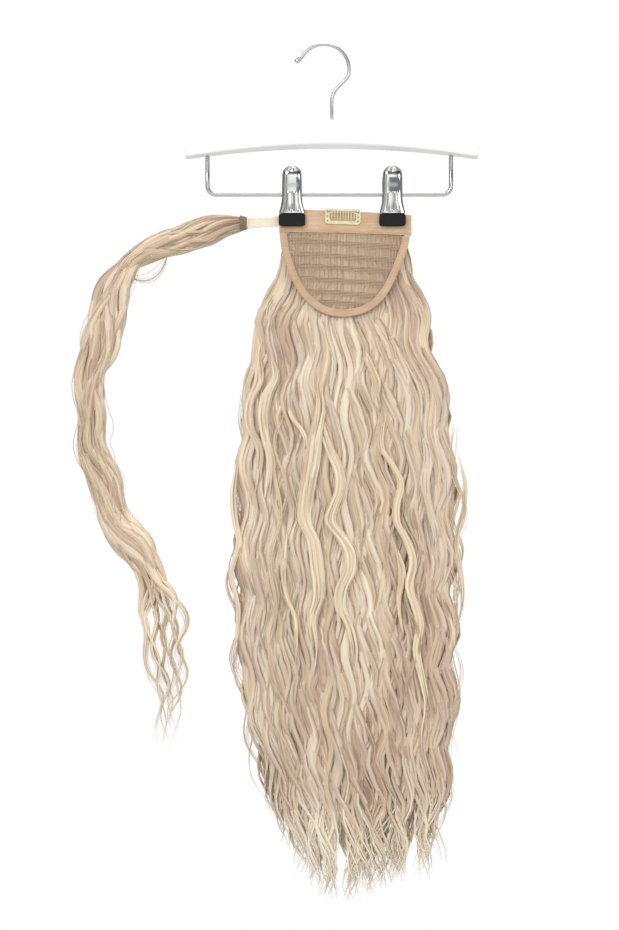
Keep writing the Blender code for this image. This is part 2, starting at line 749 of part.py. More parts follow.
def make_wrap_lock(look):
    """The long loose lock of the wrap strand: a flattened core with separate locks fused to it."""
    frames = wrap_frames()
    rings = []
    core_share = 0.44
    for centre, across, width in frames[:-1]:
        ring = []
        for i in range(10):
            angle = 2 * math.pi * i / 10
            sideways = across * (core_share * width * math.cos(angle))
            depth = Vector((0.0, LOCK_FLATNESS * core_share * width * math.sin(angle), 0.0))
            ring.append(centre + sideways + depth)
        rings.append(ring)
    lock = loft("wrap_lock", rings, look)
    strands = bpy.data.collections.new("wrap_strands")
    bpy.data.collections[CUTTERS].children.link(strands)
    for number, (side, wave_height, phase, radius, end_x, end_z) in enumerate(WRAP_LOCKS):
        points, radii = [], []
        for i, (centre, across, width) in enumerate(frames):
            wave = wave_height * math.sin(phase + i * 0.95)
            face = -1.0 if number % 2 else 1.0
            depth = face * LOCK_FLATNESS * 0.20 * width
            reach = max(-1.0, min(1.0, side * 1.0)) * (0.5 * width - radius * 0.75) + wave
            points.append(centre + across * reach + Vector((0.0, depth, 0.0)))
            radii.append(min(1.0, 0.55 + 0.5 * i / 5))
        last = points[-1]
        for share in (0.4, 0.75, 1.0):
            drift = Vector((end_x - last.x, -last.y * 0.6, end_z - last.z)) * share
            points.append(last + drift)
            radii.append(1.0 - 0.82 * share)
        strand = as_mesh(
            wire(f"wrap_strand_{number}", points, radius, radii=radii, sides=6, collection=CUTTERS)
        )
        bpy.data.collections[CUTTERS].objects.unlink(strand)
        strands.objects.link(strand)
    boolean(lock, "UNION", strands)
    smooth(lock)


def hair_point(z, around, inset=0.0):
    """A point on the hanging hair's outline at height z, in degrees round it, moved in by inset."""
    left, right, front, back = interpolate(HAIR_LEVELS, z)
    half_x, half_y = (right - left) / 2 - inset, (back - front) / 2 - inset
    half_x, half_y = max(half_x, 1.0), max(half_y, 1.0)
    cosine, sine = math.cos(math.radians(around)), math.sin(math.radians(around))
    x = (left + right) / 2 + half_x * math.copysign(abs(cosine) ** (2 / HAIR_SHAPE), cosine)
    y = (front + back) / 2 + half_y * math.copysign(abs(sine) ** (2 / HAIR_SHAPE), sine)
    return Vector((x, y, z))


def make_hair_fall(look):
    """The hanging hair: a hollow-free core with wavy tapering locks fused all round it."""
    levels = [row[0] for row in HAIR_LEVELS if row[0] > HAIR_CORE_END_Z] + [HAIR_CORE_END_Z]
    around = [360.0 * i / 20 for i in range(20)]
    inset = [0.0 if z > FRONT_LOCK_TOP_Z else 3.0 for z in levels[:-1]] + [6.0]
    rings = [[hair_point(z, a, cut) for a in around] for z, cut in zip(levels, inset)]
    hair = loft("hair_fall", rings, look)
    locks = bpy.data.collections.new("hair_locks")
    bpy.data.collections[CUTTERS].children.link(locks)
    for number, (angle, top_z, tip_z) in enumerate(HAIR_LOCKS):
        points, radii = [], []
        for i in range(LOCK_POINTS):
            share = i / (LOCK_POINTS - 1)
            z = top_z + (tip_z - top_z) * share
            swing = HAIR_WAVE_HEIGHT * math.sin(2 * math.pi * z / HAIR_WAVE_LENGTH + number * HAIR_LOCK_PHASE)
            point = hair_point(z, angle, HAIR_LOCK_R * 0.56)
            aside = hair_point(z, angle + 2.0, HAIR_LOCK_R * 0.56) - point
            point += aside.normalized() * swing * min(1.0, share * 6.0)
            points.append(point)
            radii.append(min(1.0, 0.35 + share * 4.0, 0.16 + (1.0 - share) * 4.2))
        strand = as_mesh(
            wire(f"hair_lock_{number}", points, HAIR_LOCK_R, radii=radii, sides=6, collection=CUTTERS)
        )
        bpy.data.collections[CUTTERS].objects.unlink(strand)
        locks.objects.link(strand)
    boolean(hair, "UNION", locks)
    smooth(hair)


def main():
    clear_scene()
    chrome = material("chrome", (0.72, 0.72, 0.72), 0.15, 1.0)
    white = material("white_moulding", (0.90, 0.90, 0.89), 0.35)
    rubber = material("black_rubber", (0.01, 0.01, 0.01), 0.35)
    satin = material("peach_satin", (0.72, 0.49, 0.31), 0.55)
    strap = material("cream_strap", (0.85, 0.74, 0.58), 0.6)
    net = material("beige_net", (0.56, 0.42, 0.30), 0.8)
    enamel = material("cream_enamel", (0.80, 0.74, 0.50), 0.3)
    hair = material("blonde_hair", (0.62, 0.48, 0.34), 0.5)
    root = material("root_hair", (0.26, 0.17, 0.11), 0.6)

    make_hook(chrome)
    make_hanger_body(white)
    make_hanger_bar(chrome)
    for which in CLIP_X:
        make_clip(which, chrome, rubber)
    make_band(satin)
    make_net_panel(net)
    make_binding(satin)
    make_wefts(root)
    make_snap_clip(enamel)
    make_wrap_strap(strap)
    make_wrap_root(root)
    make_wrap_lock(hair)
    make_hair_fall(hair)


main()
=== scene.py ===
"""Clip-in ponytail hairpiece on its clip hanger: the looks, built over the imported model.

The frame is +X to the right, +Y away from the viewer and +Z up, and the origin is the inside crest
of the hook. Tables are in millimetres and meshes in metres.
"""

import math

import bpy
import numpy as np
from bpy.props import FloatProperty, FloatVectorProperty, IntProperty, PointerProperty
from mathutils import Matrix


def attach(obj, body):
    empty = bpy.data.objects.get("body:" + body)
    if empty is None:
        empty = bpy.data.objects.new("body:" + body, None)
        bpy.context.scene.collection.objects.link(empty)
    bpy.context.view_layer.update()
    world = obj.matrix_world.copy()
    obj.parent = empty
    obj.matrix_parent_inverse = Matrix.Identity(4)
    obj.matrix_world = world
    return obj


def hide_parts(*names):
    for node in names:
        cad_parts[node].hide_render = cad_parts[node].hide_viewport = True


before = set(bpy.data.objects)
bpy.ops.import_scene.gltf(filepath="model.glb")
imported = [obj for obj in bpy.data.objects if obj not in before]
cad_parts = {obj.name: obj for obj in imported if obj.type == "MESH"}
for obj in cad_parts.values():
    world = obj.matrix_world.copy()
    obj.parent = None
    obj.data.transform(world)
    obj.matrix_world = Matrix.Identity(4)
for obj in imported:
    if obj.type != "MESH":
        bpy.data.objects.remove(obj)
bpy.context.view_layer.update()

bl_info = {
    "name": "Ponytail Hairpiece",
    "version": (1, 0, 0),
    "blender": (4, 5, 0),
    "location": "View3D > Sidebar > Hairpiece",
    "description": "Builds a wavy clip-in ponytail hairpiece on a clip hanger",
    "category": "Object",
}

MM = 0.001
HANGING = "hairpiece on hanger"
TAU = 2 * math.pi
FRONT = (0, -1, 0)
UV_SHIFT = 3.7  # how much further bodies are set apart along the UV map than across it
FLOAT_WIDTH = 0.8  # satin's yarn as drawn, in mm
WAVES_PER_UNIT = 20  # the wave texture's bands in one unit at scale 1

# The hanging hair: the sides that its locks flow along, and its front and back
FALL_LEVELS = np.array([  # z, left, right, front, back
    (-184.5, -39, 81, 3, 8), (-205, -44.5, 86, 3, 15), (-230, -49, 91, 3, 21), (-254, -61, 99, 2.9, 25),
    (-272, -69, 104, 1.5, 28), (-296, -74, 109, -5, 31), (-330, -79, 118, -9, 33),
    (-375, -86, 129, -11, 34), (-450, -87, 135, -11, 34), (-550, -88, 133, -11, 33),
    (-640, -86, 132, -10, 30), (-704, -73, 130, -8, 27), (-734, -64, 127, -7, 24),
    (-764, -54, 124, -5, 21), (-794, -46, 121, -3, 18), (-830, -40, 115, 0, 15), (-862, -38, 109, 3, 12),
])
FALL_TOP = -184.5
FALL_SHAPE = 2.4  # the power of the hair's rounded-box outline
NECK_Z = -272  # the base's lower edge
NET_BACK_Y = 4.4  # above NECK_Z no hair comes forward of this
GROW_OVER = 90  # the height over which waves grow in
WAVE_THROUGH = 0.14  # a wave's swing through the hair, as a share of its swing across
SPREAD_Z = -640  # below this the sides draw in
DRAW_IN = 3  # the power of that
CORE_LOW = -762  # where the mass inside the locks ends
THIN_Z = -790  # below this the hair grows thin from front to back
LOCK_STACK = 2.8  # how deep a layer's locks are stacked

# How low the locks end across the hair, and where they gather into clumps above their ends
TIP_LINE = np.array([  # x, tip_z
    (-64, -775), (-44, -818), (-26, -836), (-6, -850), (12, -856), (34, -855), (54, -848), (72, -840),
    (100, -836), (120, -815),
])
CLUMP_Z = -728
CLUMP_PULL = 0.84  # the share of the way to its clump that a lock's end is drawn
CLUMPS = np.array([-44, -24, -8, 4, 29, 42, 55, 73, 99, 114])

# The pale locks that stand out on the front, each by its middle line
PALE_LOCKS = {  # name: (half_width, tone, warmth, [(x, z), ...])
    "cream_left": (6.4, 0.74, 0.25, [
        (-8, -322), (-3, -362), (-9, -397), (-12, -417), (-18, -448), (-20, -474), (-11, -495),
        (-7, -519), (-5, -550), (-11, -572), (-8, -600), (-12, -640)]),
    "cream_middle": (5.2, 0.74, 0.25, [
        (-6, -345), (1, -387), (9, -409), (16, -427), (15, -446), (9, -460), (5, -474), (15, -489),
        (24, -505), (25, -523), (17, -544), (17, -560), (24, -576), (30, -600), (26, -640)]),
    "cream_side": (4.4, 0.68, 0.25, [
        (-50, -299), (-52, -315), (-50, -331), (-58, -350), (-61, -368), (-58, -393), (-53, -413),
        (-54, -440), (-60, -470)]),
    "edge": (4, 0.62, 0.2, [
        (-60, -285), (-66, -305), (-65, -336), (-74, -356), (-74, -380), (-65, -401), (-66, -430),
        (-72, -460)]),
    "thread": (1.8, 0.72, 0.4, [
        (-38, -358), (-31, -372), (-19, -392), (-17, -410)]),
    "thread_low": (1.6, 0.72, 0.4, [
        (-36, -470), (-38, -498), (-40, -530), (-37, -550), (-30, -568), (-28, -596), (-28, -622),
        (-24, -640)]),
    "honey_top": (3.6, 0.66, 0.45, [
        (40, -300), (44, -317), (52, -336), (52, -352), (58, -372)]),
    "honey": (3.4, 0.82, 0.5, [
        (60, -340), (62, -356), (56, -387), (56, -401), (66, -417), (76, -438), (72, -458), (72, -474),
        (83, -495), (89, -515), (85, -540), (91, -560), (95, -574), (92, -604), (97, -630), (102, -656),
        (98, -690), (100, -722)]),
    "honey_low": (2.4, 0.68, 0.45, [
        (68, -486), (74, -508), (78, -530), (74, -552), (76, -574), (82, -596)]),
    "grey_right": (4, 0.64, 0.1, [
        (98, -384), (104, -410), (100, -436), (106, -464), (112, -490), (108, -520)]),
    "side_left": (1.9, 0.66, 0.15, [
        (-84, -396), (-88, -424), (-91, -449), (-89, -474), (-85, -499), (-91, -518), (-93, -528),
        (-90, -543), (-86, -560), (-87, -586), (-89, -612), (-84, -650)]),
    "side_right": (1.7, 0.62, 0.15, [
        (131, -396), (137, -420), (141, -438), (140, -462), (135, -482), (133, -500), (136, -520),
        (139, -545), (137, -570), (130, -600)]),
}

# The wrap strand's middle line and full width, from its root
WRAP_STATIONS = np.array([  # x, z, width
    (-77.2, -177.4, 13), (-88, -178.6, 20.5), (-103, -180.6, 27), (-117, -184.6, 33),
    (-129, -188.4, 31.5), (-141.5, -193, 29.5), (-157, -197.5, 28), (-172, -202.5, 24),
    (-184, -208.5, 21), (-193, -214.5, 20), (-201, -228, 25), (-209.5, -243, 34), (-215, -260, 41),
    (-218, -277, 44), (-221.5, -293, 44), (-226, -308, 39), (-233, -324, 33), (-235, -338, 35),
    (-234, -353, 33), (-231.5, -368.5, 28.5), (-233, -400, 27), (-226, -418, 36), (-218.5, -437, 38),
    (-214, -458, 34), (-207, -479, 34), (-190.5, -499, 40), (-180, -517, 31), (-171, -538, 33),
    (-163.5, -560, 45), (-161, -580, 46), (-160, -600, 40), (-155.5, -622, 36), (-152.5, -645, 29),
    (-155, -668, 23), (-153, -706, 24),
])

# The thread wound round the strand's root, and the loop of hair that has slipped out
WINDING_START = (-77.4, -177.3)
WINDING_TURNS = 8
LOOP_LINE = [(-156, -207), (-161, -216), (-167, -223), (-178, -230), (-188, -231), (-199, -226)]

# Base of the hairpiece
BAND_TOP = np.array([(-44.8, -164.3), (-19, -163.6), (20, -165), (60, -167.1), (87.4, -169.2)])
BAND_LOW = np.array([(-44.8, -186.1), (20, -187.1), (60, -188.4), (87.4, -189.7)])
BAND_HALF_DEPTH = 1.2
GAP = 0.3  # between sewn parts
PANEL_X = 19  # the panel's middle
BINDING_WIDTH = 7.6
STITCH = 2.4
STITCH_GAP = 0.8
NET_PITCH = 1.5
NET_SWING = 0.45  # how far a yarn that runs down swings to meet the next
NET_YARN_R = 0.21
BINDING_LINE = np.array([  # x, z
    (-40.8, -187.2), (-38.4, -204), (-33.4, -220), (-26.9, -236), (-17.6, -249.8), (-8.1, -258.6),
    (3.4, -264.6), (14.3, -267), (28, -266.2), (42.5, -261.8), (53.4, -253.8), (62, -242.8),
    (68.8, -229.4), (74.6, -216), (79.6, -202), (82.2, -190.9),
])
WEFT_LEVELS = (-196.7, -209.8, -221.5, -234.2, -246.6, -256.4)
WEFT_SLOPE = -math.tan(math.radians(4.1))
STRAP_LEFT = (-76.4, -177.4)
STRAP_RIGHT = (-45.1, -175.2)
STRAP_HEIGHT = 10.4

# Hanger
HOOK_WIRE_R = 1.6
HOOK_R = 25.1
HOOK_CENTRE_Z = -23.5
HOOK_SWEEP = (150, -10)  # the round part's first and last angle, in degrees
HOOK_LIP = (-28.3, -16)
BEAD_SWELL = 0.55  # how much thicker the wire is at the bead, as a share
BEND_LEAD = 8.7
STEM_X = 7.8
STEM_BEND = (-41, -56)
STEM_LOW = -85.4
BODY_HALF_LENGTH = 148
BODY_THICKNESS = 11
BODY_TOP = (-74.5, 24)  # an arch's height, and how much lower its ends are
BODY_LOW = (-102.8, 10.7)
BAR_Z = -148.6
BAR_WIRE_R = 2.1
BAR_SIDES = (-116.5, 127)
BAR_CORNER_R = 8.5
BAR_TOP = -106.3
EAR_OUTER_R = 4
EAR_INNER_R = 2.5
EAR_REACH = 5.6
EAR_HALF_SHEET = 0.45
JAW_SHEET = 0.9
HEAD_Z = -125.5  # above this the jaw is rounded: an ellipse round HEAD_MIDDLE
HEAD_MIDDLE = -130.2
HEAD_HALF = 9.2
HEAD_RISE = 9.3
DIMPLE_Z = -124.8
DIMPLE_R = 1.7
GROOVE_ENDS = (-146.5, -166.3)
PAD_HALF = (13.3, 6.55)
PAD_NEAR = 1.5
PAD_DEPTH = 4.6
SPRING_TURNS = 3.5
SPRING_R = 3.5
SPRING_WIRE_R = 0.8
SPRING_LENGTH = 9.1
CLIP_X = {"left": -32, "right": 68.3}
CLIP_LOW_Z = -167.4
EAR_X = {-1: 8.3, 1: 7}  # how far a jaw's ears stand from its middle: front, rear
JAW_LEVELS = np.array([  # z, half_width, stand_off
    (-121, 2.8, 9.6), (-122.4, 6, 10.6), (-125.5, 8.4, 11.2), (-130.5, 9.2, 11.2), (-137, 9.4, 9.9),
    (-143.5, 9.5, 8), (-149.5, 9.6, 7), (-156, 9.9, 6.9), (-162, 11.2, 6.2), (CLIP_LOW_Z, 12.5, 4.9),
])

# The picture: the camera's sensor, and the height and the middle of what it sees
SENSOR = 36
VIEW_HEIGHT = 930
VIEW_MIDDLE = (-14.5, -419)
FLOOR_RADIUS = 7
FLOOR_Z = -2.6


# Numbers and meshes


def linear(colour):
    """An sRGB hex colour as linear red, green, blue and alpha."""
    parts = [int(colour[i : i + 2], 16) / 255 for i in (1, 3, 5)]
    curved = [p / 12.92 if p <= 0.04045 else ((p + 0.055) / 1.055) ** 2.4 for p in parts]
    return (*curved, 1)


def unit(vectors):
    """Vectors scaled to length one."""
    return vectors / np.maximum(np.linalg.norm(vectors, axis=-1, keepdims=True), 1e-12)


def bell(values, middle, width, power=2):
    """A bell round middle: e to the minus (distance / width) ^ power."""
    return np.exp(-(((values - middle) / width) ** power))


def xyz(*parts):
    """Points from their coordinates, each a number or an array that is spread over the others."""
    return np.stack(np.broadcast_arrays(*parts), axis=-1)


def even(steps):
    """Shares from 0 to 1 in even steps."""
    return np.linspace(0, 1, steps)


def rounded(sides, wide_power, high_power, start=0.5):
    """An outline between a circle and a box: its cosine and sine, each as size ^ power with its own
    sign.
    """
    turn = TAU * (np.arange(sides) + start) / sides
    pairs = ((np.cos(turn), wide_power), (np.sin(turn), high_power))
    return [np.sign(value) * np.abs(value) ** power for value, power in pairs]


def beside(line):
    """The way to the left of a flat line, at each of its points."""
    run = unit(np.gradient(line, axis=0))
    return xyz(-run[:, 1], run[:, 0])


def ease(values):
    """Eases 0..1 in and out: 3 v squared less 2 v cubed, held at 0 and 1 outside."""
    held = np.clip(values, 0, 1)
    return held * held * (3 - 2 * held)


def skin(name, rings, values=None, across=None, sharp=None):
    """A mesh of closed bodies. rings[i, j] is outline j of body i, and joins outline j + 1; the first
    and last outlines are closed by a fan to their middle. values are named numbers for each outline
    of each body. across is how far apart bodies start on the UV map, whose U runs round a body and V
    along it, both in metres.
    """
    count, steps, sides, _ = rings.shape
    middles = rings[:, [0, -1]].mean(axis=2)
    points = np.concatenate([rings.reshape(count, steps * sides, 3), middles], axis=1)
    first = np.arange(count)[:, None] * (steps * sides + 2)
    start = first[:, :, None] + np.arange(steps - 1)[:, None] * sides
    last, centre = first + (steps - 1) * sides, first + steps * sides
    here = np.arange(sides)
    after = (here + 1) % sides
    walls = xyz(start + here, start + sides + here, start + sides + after, start + after).reshape(-1, 4)
    fans = np.concatenate([xyz(centre, first + here, first + after).reshape(-1, 3),
                           xyz(centre + 1, last + after, last + here).reshape(-1, 3)])

    gaps = np.linalg.norm(np.diff(rings, axis=2, append=rings[:, :, :1]), axis=-1)
    girth = gaps.sum(axis=2).max(axis=1)[:, None, None]
    runs = np.linalg.norm(np.diff(rings.mean(axis=2), axis=1), axis=-1)
    length = np.concatenate([np.zeros((count, 1)), np.cumsum(runs, axis=1)], axis=1)[:, :, None]
    shift = np.zeros((count, 1, 1)) if across is None else across.reshape(count, 1, 1)
    flat = xyz(shift + girth * even(sides + 1), shift * UV_SHIFT + length)
    left, right = flat[:, :, :-1], flat[:, :, 1:]
    uv = [np.stack([left[:, :-1], left[:, 1:], right[:, 1:], right[:, :-1]], axis=3),
          np.stack([left[:, 0], left[:, 0], right[:, 0]], axis=2),
          np.stack([left[:, -1], right[:, -1], left[:, -1]], axis=2)]

    at = points.reshape(-1, 3)[walls]
    volume = sum((at[:, 0] * np.cross(at[:, k], at[:, k + 1])).sum() for k in (1, 2))
    corners = np.concatenate([walls.ravel(), fans.ravel()])
    starts = np.concatenate([np.arange(len(walls)) * 4, len(walls) * 4 + np.arange(len(fans)) * 3])
    mesh = bpy.data.meshes.new(name)
    mesh.vertices.add(points.shape[0] * points.shape[1])
    mesh.vertices.foreach_set("co", points.astype(np.float32).ravel())
    mesh.loops.add(len(corners))
    mesh.loops.foreach_set("vertex_index", corners.astype(np.int32))
    mesh.polygons.add(len(starts))
    mesh.polygons.foreach_set("loop_start", starts.astype(np.int32))
    mesh.update(calc_edges=True)
    layer = mesh.uv_layers.new(name="along")
    layer.data.foreach_set("uv", np.concatenate([part.ravel() for part in uv]).astype(np.float32))
    for key, rows in (values or {}).items():
        rows = np.broadcast_to(rows, (count, steps))
        spread = np.concatenate([np.repeat(rows, sides, axis=1), rows[:, [0, -1]]], axis=1)
        attribute = mesh.attributes.new(key, "FLOAT", "POINT")
        attribute.data.foreach_set("value", spread.astype(np.float32).ravel())
    if volume < 0:
        mesh.flip_normals()
    mesh.shade_smooth()
    if sharp:
        mesh.set_sharp_from_angle(angle=math.radians(sharp))
    return mesh


def rods(name, paths, half_width, half_depth, facing, sides, values=None, across=None):
    """Many tapering rods. A rod's outline at a step of its path is an ellipse: half_width to the
    side, which is square to the path and to facing, and half_depth towards facing.
    """
    along = unit(np.gradient(paths, axis=1))
    side = unit(np.cross(along, facing))
    face = np.cross(side, along)
    turn = TAU * (np.arange(sides) + 0.5) / sides
    wide, deep = (np.broadcast_to(half, paths.shape[:2])[:, :, None] for half in (half_width, half_depth))
    rings = (
        paths[:, :, None]
        + (wide * np.cos(turn))[..., None] * side[:, :, None]
        + (deep * np.sin(turn))[..., None] * face[:, :, None]
    )
    return skin(name, rings, values, across)


def wire_mesh(name, points, radius, sides, facing=(0, 1, 0)):
    """A round wire through points in millimetres; radius is a number or one for each point."""
    radius = np.asarray(radius) * MM
    return rods(name, points[None] * MM, radius, radius, facing, sides)


def joined(name, meshes):
    """One mesh of several."""
    parts = [bpy.data.objects.new(name, mesh) for mesh in meshes]
    for part in parts:
        bpy.context.scene.collection.objects.link(part)
    chosen = {"active_object": parts[0], "object": parts[0], "selected_editable_objects": parts}
    with bpy.context.temp_override(**chosen):
        bpy.ops.object.join()
    mesh = parts[0].data
    bpy.data.objects.remove(parts[0])
    return mesh


def piece(name, mesh, look, nodes=()):
    """Adds a finished mesh to the scene, with its material, on the body that hangs."""
    obj = bpy.data.objects.new(name, mesh)
    bpy.context.scene.collection.objects.link(obj)
    mesh.materials.clear()
    mesh.materials.append(look)
    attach(obj, HANGING)
    if nodes:
        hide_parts(*nodes)
    return obj


def hair_piece(name, mesh, nodes=()):
    """Adds a piece of blonde hair."""
    piece(name, mesh, bpy.data.materials["blonde_human_hair"], nodes)


def resample(points, steps):
    """Points evenly spaced along a line, read from a smooth curve through the given ones."""
    points = np.asarray(points, float)
    gaps = np.linalg.norm(np.diff(points, axis=0), axis=1)
    at = np.concatenate([[0], np.cumsum(gaps)])
    slope = np.gradient(points, at, axis=0)
    want = np.linspace(0, at[-1], steps)
    i = np.clip(np.searchsorted(at, want, side="right") - 1, 0, len(at) - 2)
    span = (at[i + 1] - at[i])[:, None]
    t = (want - at[i])[:, None] / span
    return (
        (2 * t**3 - 3 * t**2 + 1) * points[i]
        + (t**3 - 2 * t**2 + t) * span * slope[i]
        + (3 * t**2 - 2 * t**3) * points[i + 1]
        + (t**3 - t**2) * span * slope[i + 1]
    )


# Materials


def add(tree, kind, settings=None, inputs=None):
    """Adds a shader node. settings are its own values, with a colour ramp's stops as position and
    colour; inputs are its sockets, each a value or the output that feeds it.
    """
    made = tree.nodes.new("ShaderNode" + kind)
    for key, value in (settings or {}).items():
        if key == "stops":
            ramp = made.color_ramp
            while len(ramp.elements) < len(value):
                ramp.elements.new(0.5)
            for element, (position, colour) in zip(ramp.elements, value):
                element.position = position
                element.color = linear(colour) if isinstance(colour, str) else colour
        else:
            setattr(made, key, value)
    for key, value in (inputs or {}).items():
        if isinstance(value, bpy.types.NodeSocket):
            tree.links.new(value, made.inputs[key])
        else:
            made.inputs[key].default_value = value
    return made


def surface(name, inputs):
    """A material with one Principled shader; returns it, its node tree and the shader."""
    made = bpy.data.materials.new(name)
    made.use_nodes = True
    tree = made.node_tree
    shader = tree.nodes["Principled BSDF"]
    for key, value in inputs.items():
        shader.inputs[key].default_value = value
    return made, tree, shader


def grey(value):
    """A colour ramp's grey stop."""
    return (value, value, value, 1)


def place_in(tree):
    """Where a point lies on its piece."""
    return add(tree, "TexCoord").outputs["Object"]


def noise(tree, place, scale, detail, **more):
    """The value of a noise texture."""
    inputs = {"Vector": place, "Scale": scale, "Detail": detail, **more}
    return add(tree, "TexNoise", inputs=inputs).outputs["Fac"]


def carry(tree, value, low, high, start=0, end=1):
    """A value from start to end, carried over to low to high."""
    inputs = {"Value": value, "From Min": start, "From Max": end, "To Min": low, "To Max": high}
    return add(tree, "MapRange", inputs=inputs).outputs[0]


def combine(tree, operation, first, second, clamp=False):
    """Two values put together by a math node."""
    settings = {"operation": operation, "use_clamp": clamp}
    return add(tree, "Math", settings, {0: first, 1: second}).outputs[0]


def mix(tree, share, first, second, blend="MIX"):
    """One colour of two."""
    settings = {"data_type": "RGBA", "blend_type": blend}
    return add(tree, "Mix", settings, {"Factor": share, 6: first, 7: second}).outputs[2]


def dent(tree, shader, height, strength, distance):
    """Feeds a bump to the shader."""
    bump = add(tree, "Bump", inputs={"Height": height, "Strength": strength, "Distance": distance})
    tree.links.new(bump.outputs[0], shader.inputs["Normal"])


def mottled(name, inputs, scale, detail, stops):
    """A material whose colour wanders between a ramp's stops, by a noise."""
    made, tree, shader = surface(name, inputs)
    value = noise(tree, place_in(tree), scale, detail)
    colour = add(tree, "ValToRGB", {"stops": stops}, {"Fac": value})
    tree.links.new(colour.outputs["Color"], shader.inputs["Base Color"])
    return made


def hair_material(name, stops, roughness=0.42):
    """Human hair: keratin fibres of 0.06 to 0.09 mm lying side by side, drawn as streaks of 0.5 to
    2 mm that run along each lock. Attribute tone picks a colour from taupe to cream, and warmth
    turns it towards honey.
    """
    made, tree, shader = surface(
        name,
        {"Roughness": roughness, "IOR": 1.55, "Specular IOR Level": 0.35, "Sheen Weight": 0.12,
         "Sheen Roughness": 0.5},
    )
    flow = add(tree, "UVMap", {"uv_map": "along"}).outputs["UV"]
    fine, broad = (add(tree, "Mapping", inputs={"Vector": flow, "Scale": scale}).outputs[0]
                   for scale in ((1000, 14, 1), (330, 9, 1)))
    streak = noise(tree, fine, 1, 3, Roughness=0.6)
    band = noise(tree, broad, 1, 2)
    tone, warmth = (add(tree, "Attribute", {"attribute_name": key}).outputs["Fac"]
                    for key in ("tone", "warmth"))
    both = combine(tree, "ADD", carry(tree, streak, -0.16, 0.16, 0.25, 0.75),
                   carry(tree, band, -0.17, 0.17, 0.3, 0.7))
    mixed = combine(tree, "ADD", tone, both, True)
    colour = add(tree, "ValToRGB", {"stops": stops}, {"Fac": mixed}).outputs["Color"]
    honey = mix(tree, warmth, colour, linear("#F6E8C6"), "MULTIPLY")
    tree.links.new(honey, shader.inputs["Base Color"])
    dent(tree, shader, streak, 0.55, 0.0006)
    return made


BLONDE = [(0, "#937966"), (0.2, "#B89F8B"), (0.4, "#D0BAA4"), (0.55, "#DCCBB6"), (0.78, "#EEDFC9"),
          (1, "#F8EFDF")]
WEFT_BROWN = [(0, "#866A5F"), (0.5, "#A08375"), (1, "#B89B8B")]


def chrome_material(name="polished_chrome_plate", colour="#E6E6E2", blurs=(0.06, 0.14)):
    """Chrome plate on steel: a mirror finish whose faint blur is the polish on pressed parts, and
    which is duller on drawn wire.
    """
    made, tree, shader = surface(name, {"Base Color": linear(colour), "Metallic": 1})
    haze = noise(tree, place_in(tree), 240, 3)
    tree.links.new(carry(tree, haze, *blurs), shader.inputs["Roughness"])
    return made


def moulding_material():
    """Injection-moulded ABS, gloss white: a smooth skin with the faint ripple that moulds leave."""
    made, tree, shader = surface(
        "gloss_white_abs",
        {"Base Color": linear("#EEEEED"), "Roughness": 0.34, "IOR": 1.53, "Coat Weight": 0.3,
         "Coat Roughness": 0.1},
    )
    dent(tree, shader, noise(tree, place_in(tree), 60, 2), 0.08, 0.0005)
    return made


def rubber_material():
    """Moulded black PVC tip: a soft skin with a fine grain of about 0.4 mm."""
    made, tree, shader = surface(
        "moulded_black_pvc", {"Base Color": linear("#090909"), "IOR": 1.52, "Specular IOR Level": 0.3}
    )
    place = place_in(tree)
    dull = carry(tree, noise(tree, place, 160, 4), 0.22, 0.38)
    tree.links.new(dull, shader.inputs["Roughness"])
    dent(tree, shader, noise(tree, place, 2500, 2), 0.15, 0.0002)
    return made


def satin_material(name, dark, light):
    """Polyester satin or twill tape: floats of yarn about 0.2 mm wide, drawn at 0.8 mm so that they
    show, with slubs and a soft sheen along them.
    """
    made, tree, shader = surface(
        name, {"Roughness": 0.48, "IOR": 1.5, "Sheen Weight": 0.35, "Sheen Roughness": 0.35}
    )
    place = place_in(tree)
    scale = 1 / (FLOAT_WIDTH * MM) / WAVES_PER_UNIT
    weft, warp = (
        add(tree, "TexWave", {"bands_direction": way},
            {"Vector": place, "Scale": scale, "Distortion": bent, "Detail": 1, "Detail Scale": 6})
        for way, bent in (("Z", 1.2), ("X", 0.8))
    )
    slub = add(tree, "Mapping", inputs={"Vector": place, "Scale": (60, 60, 700)}).outputs[0]
    blend = combine(tree, "ADD", noise(tree, slub, 1, 3), noise(tree, place, 55, 3))
    share = carry(tree, blend, 0, 1, 0.75, 1.25)
    tree.links.new(mix(tree, share, linear(dark), linear(light)), shader.inputs["Base Color"])
    weave = combine(tree, "MULTIPLY", weft.outputs["Fac"], warp.outputs["Fac"])
    dent(tree, shader, weave, 0.35, 0.0003)
    return made


def yarn_material(name, dark, light):
    """Spun polyester yarn: matt, with its ply showing as a slow change along it."""
    inputs = {"Roughness": 0.72, "Sheen Weight": 0.3, "Sheen Roughness": 0.5}
    return mottled(name, inputs, 420, 2, [(0.3, dark), (0.7, light)])


def enamel_material():
    """Cream stove enamel on spring steel: a glossy skin, a little thinner and greyer in patches."""
    inputs = {"Roughness": 0.3, "IOR": 1.52, "Coat Weight": 0.4, "Coat Roughness": 0.12}
    stops = [(0.3, "#CFC39A"), (0.6, "#DED5B0"), (0.8, "#E6DFC0")]
    return mottled("cream_stove_enamel", inputs, 300, 4, stops)


def paper_material():
    """Matt pale grey studio paper, with the faint tooth of its coating."""
    return mottled("studio_paper", {"Roughness": 0.9}, 30, 2, [(0, "#C6C6C5"), (1, "#CDCDCC")])


# Hair


def fall_at(z):
    """The hanging hair at heights z: the middle's x and y, and its half width and half depth."""
    up = FALL_LEVELS[::-1]
    left, right, front, back = (np.interp(z, up[:, 0], up[:, c]) for c in (1, 2, 3, 4))
    return (left + right) / 2, (front + back) / 2, (right - left) / 2, (back - front) / 2


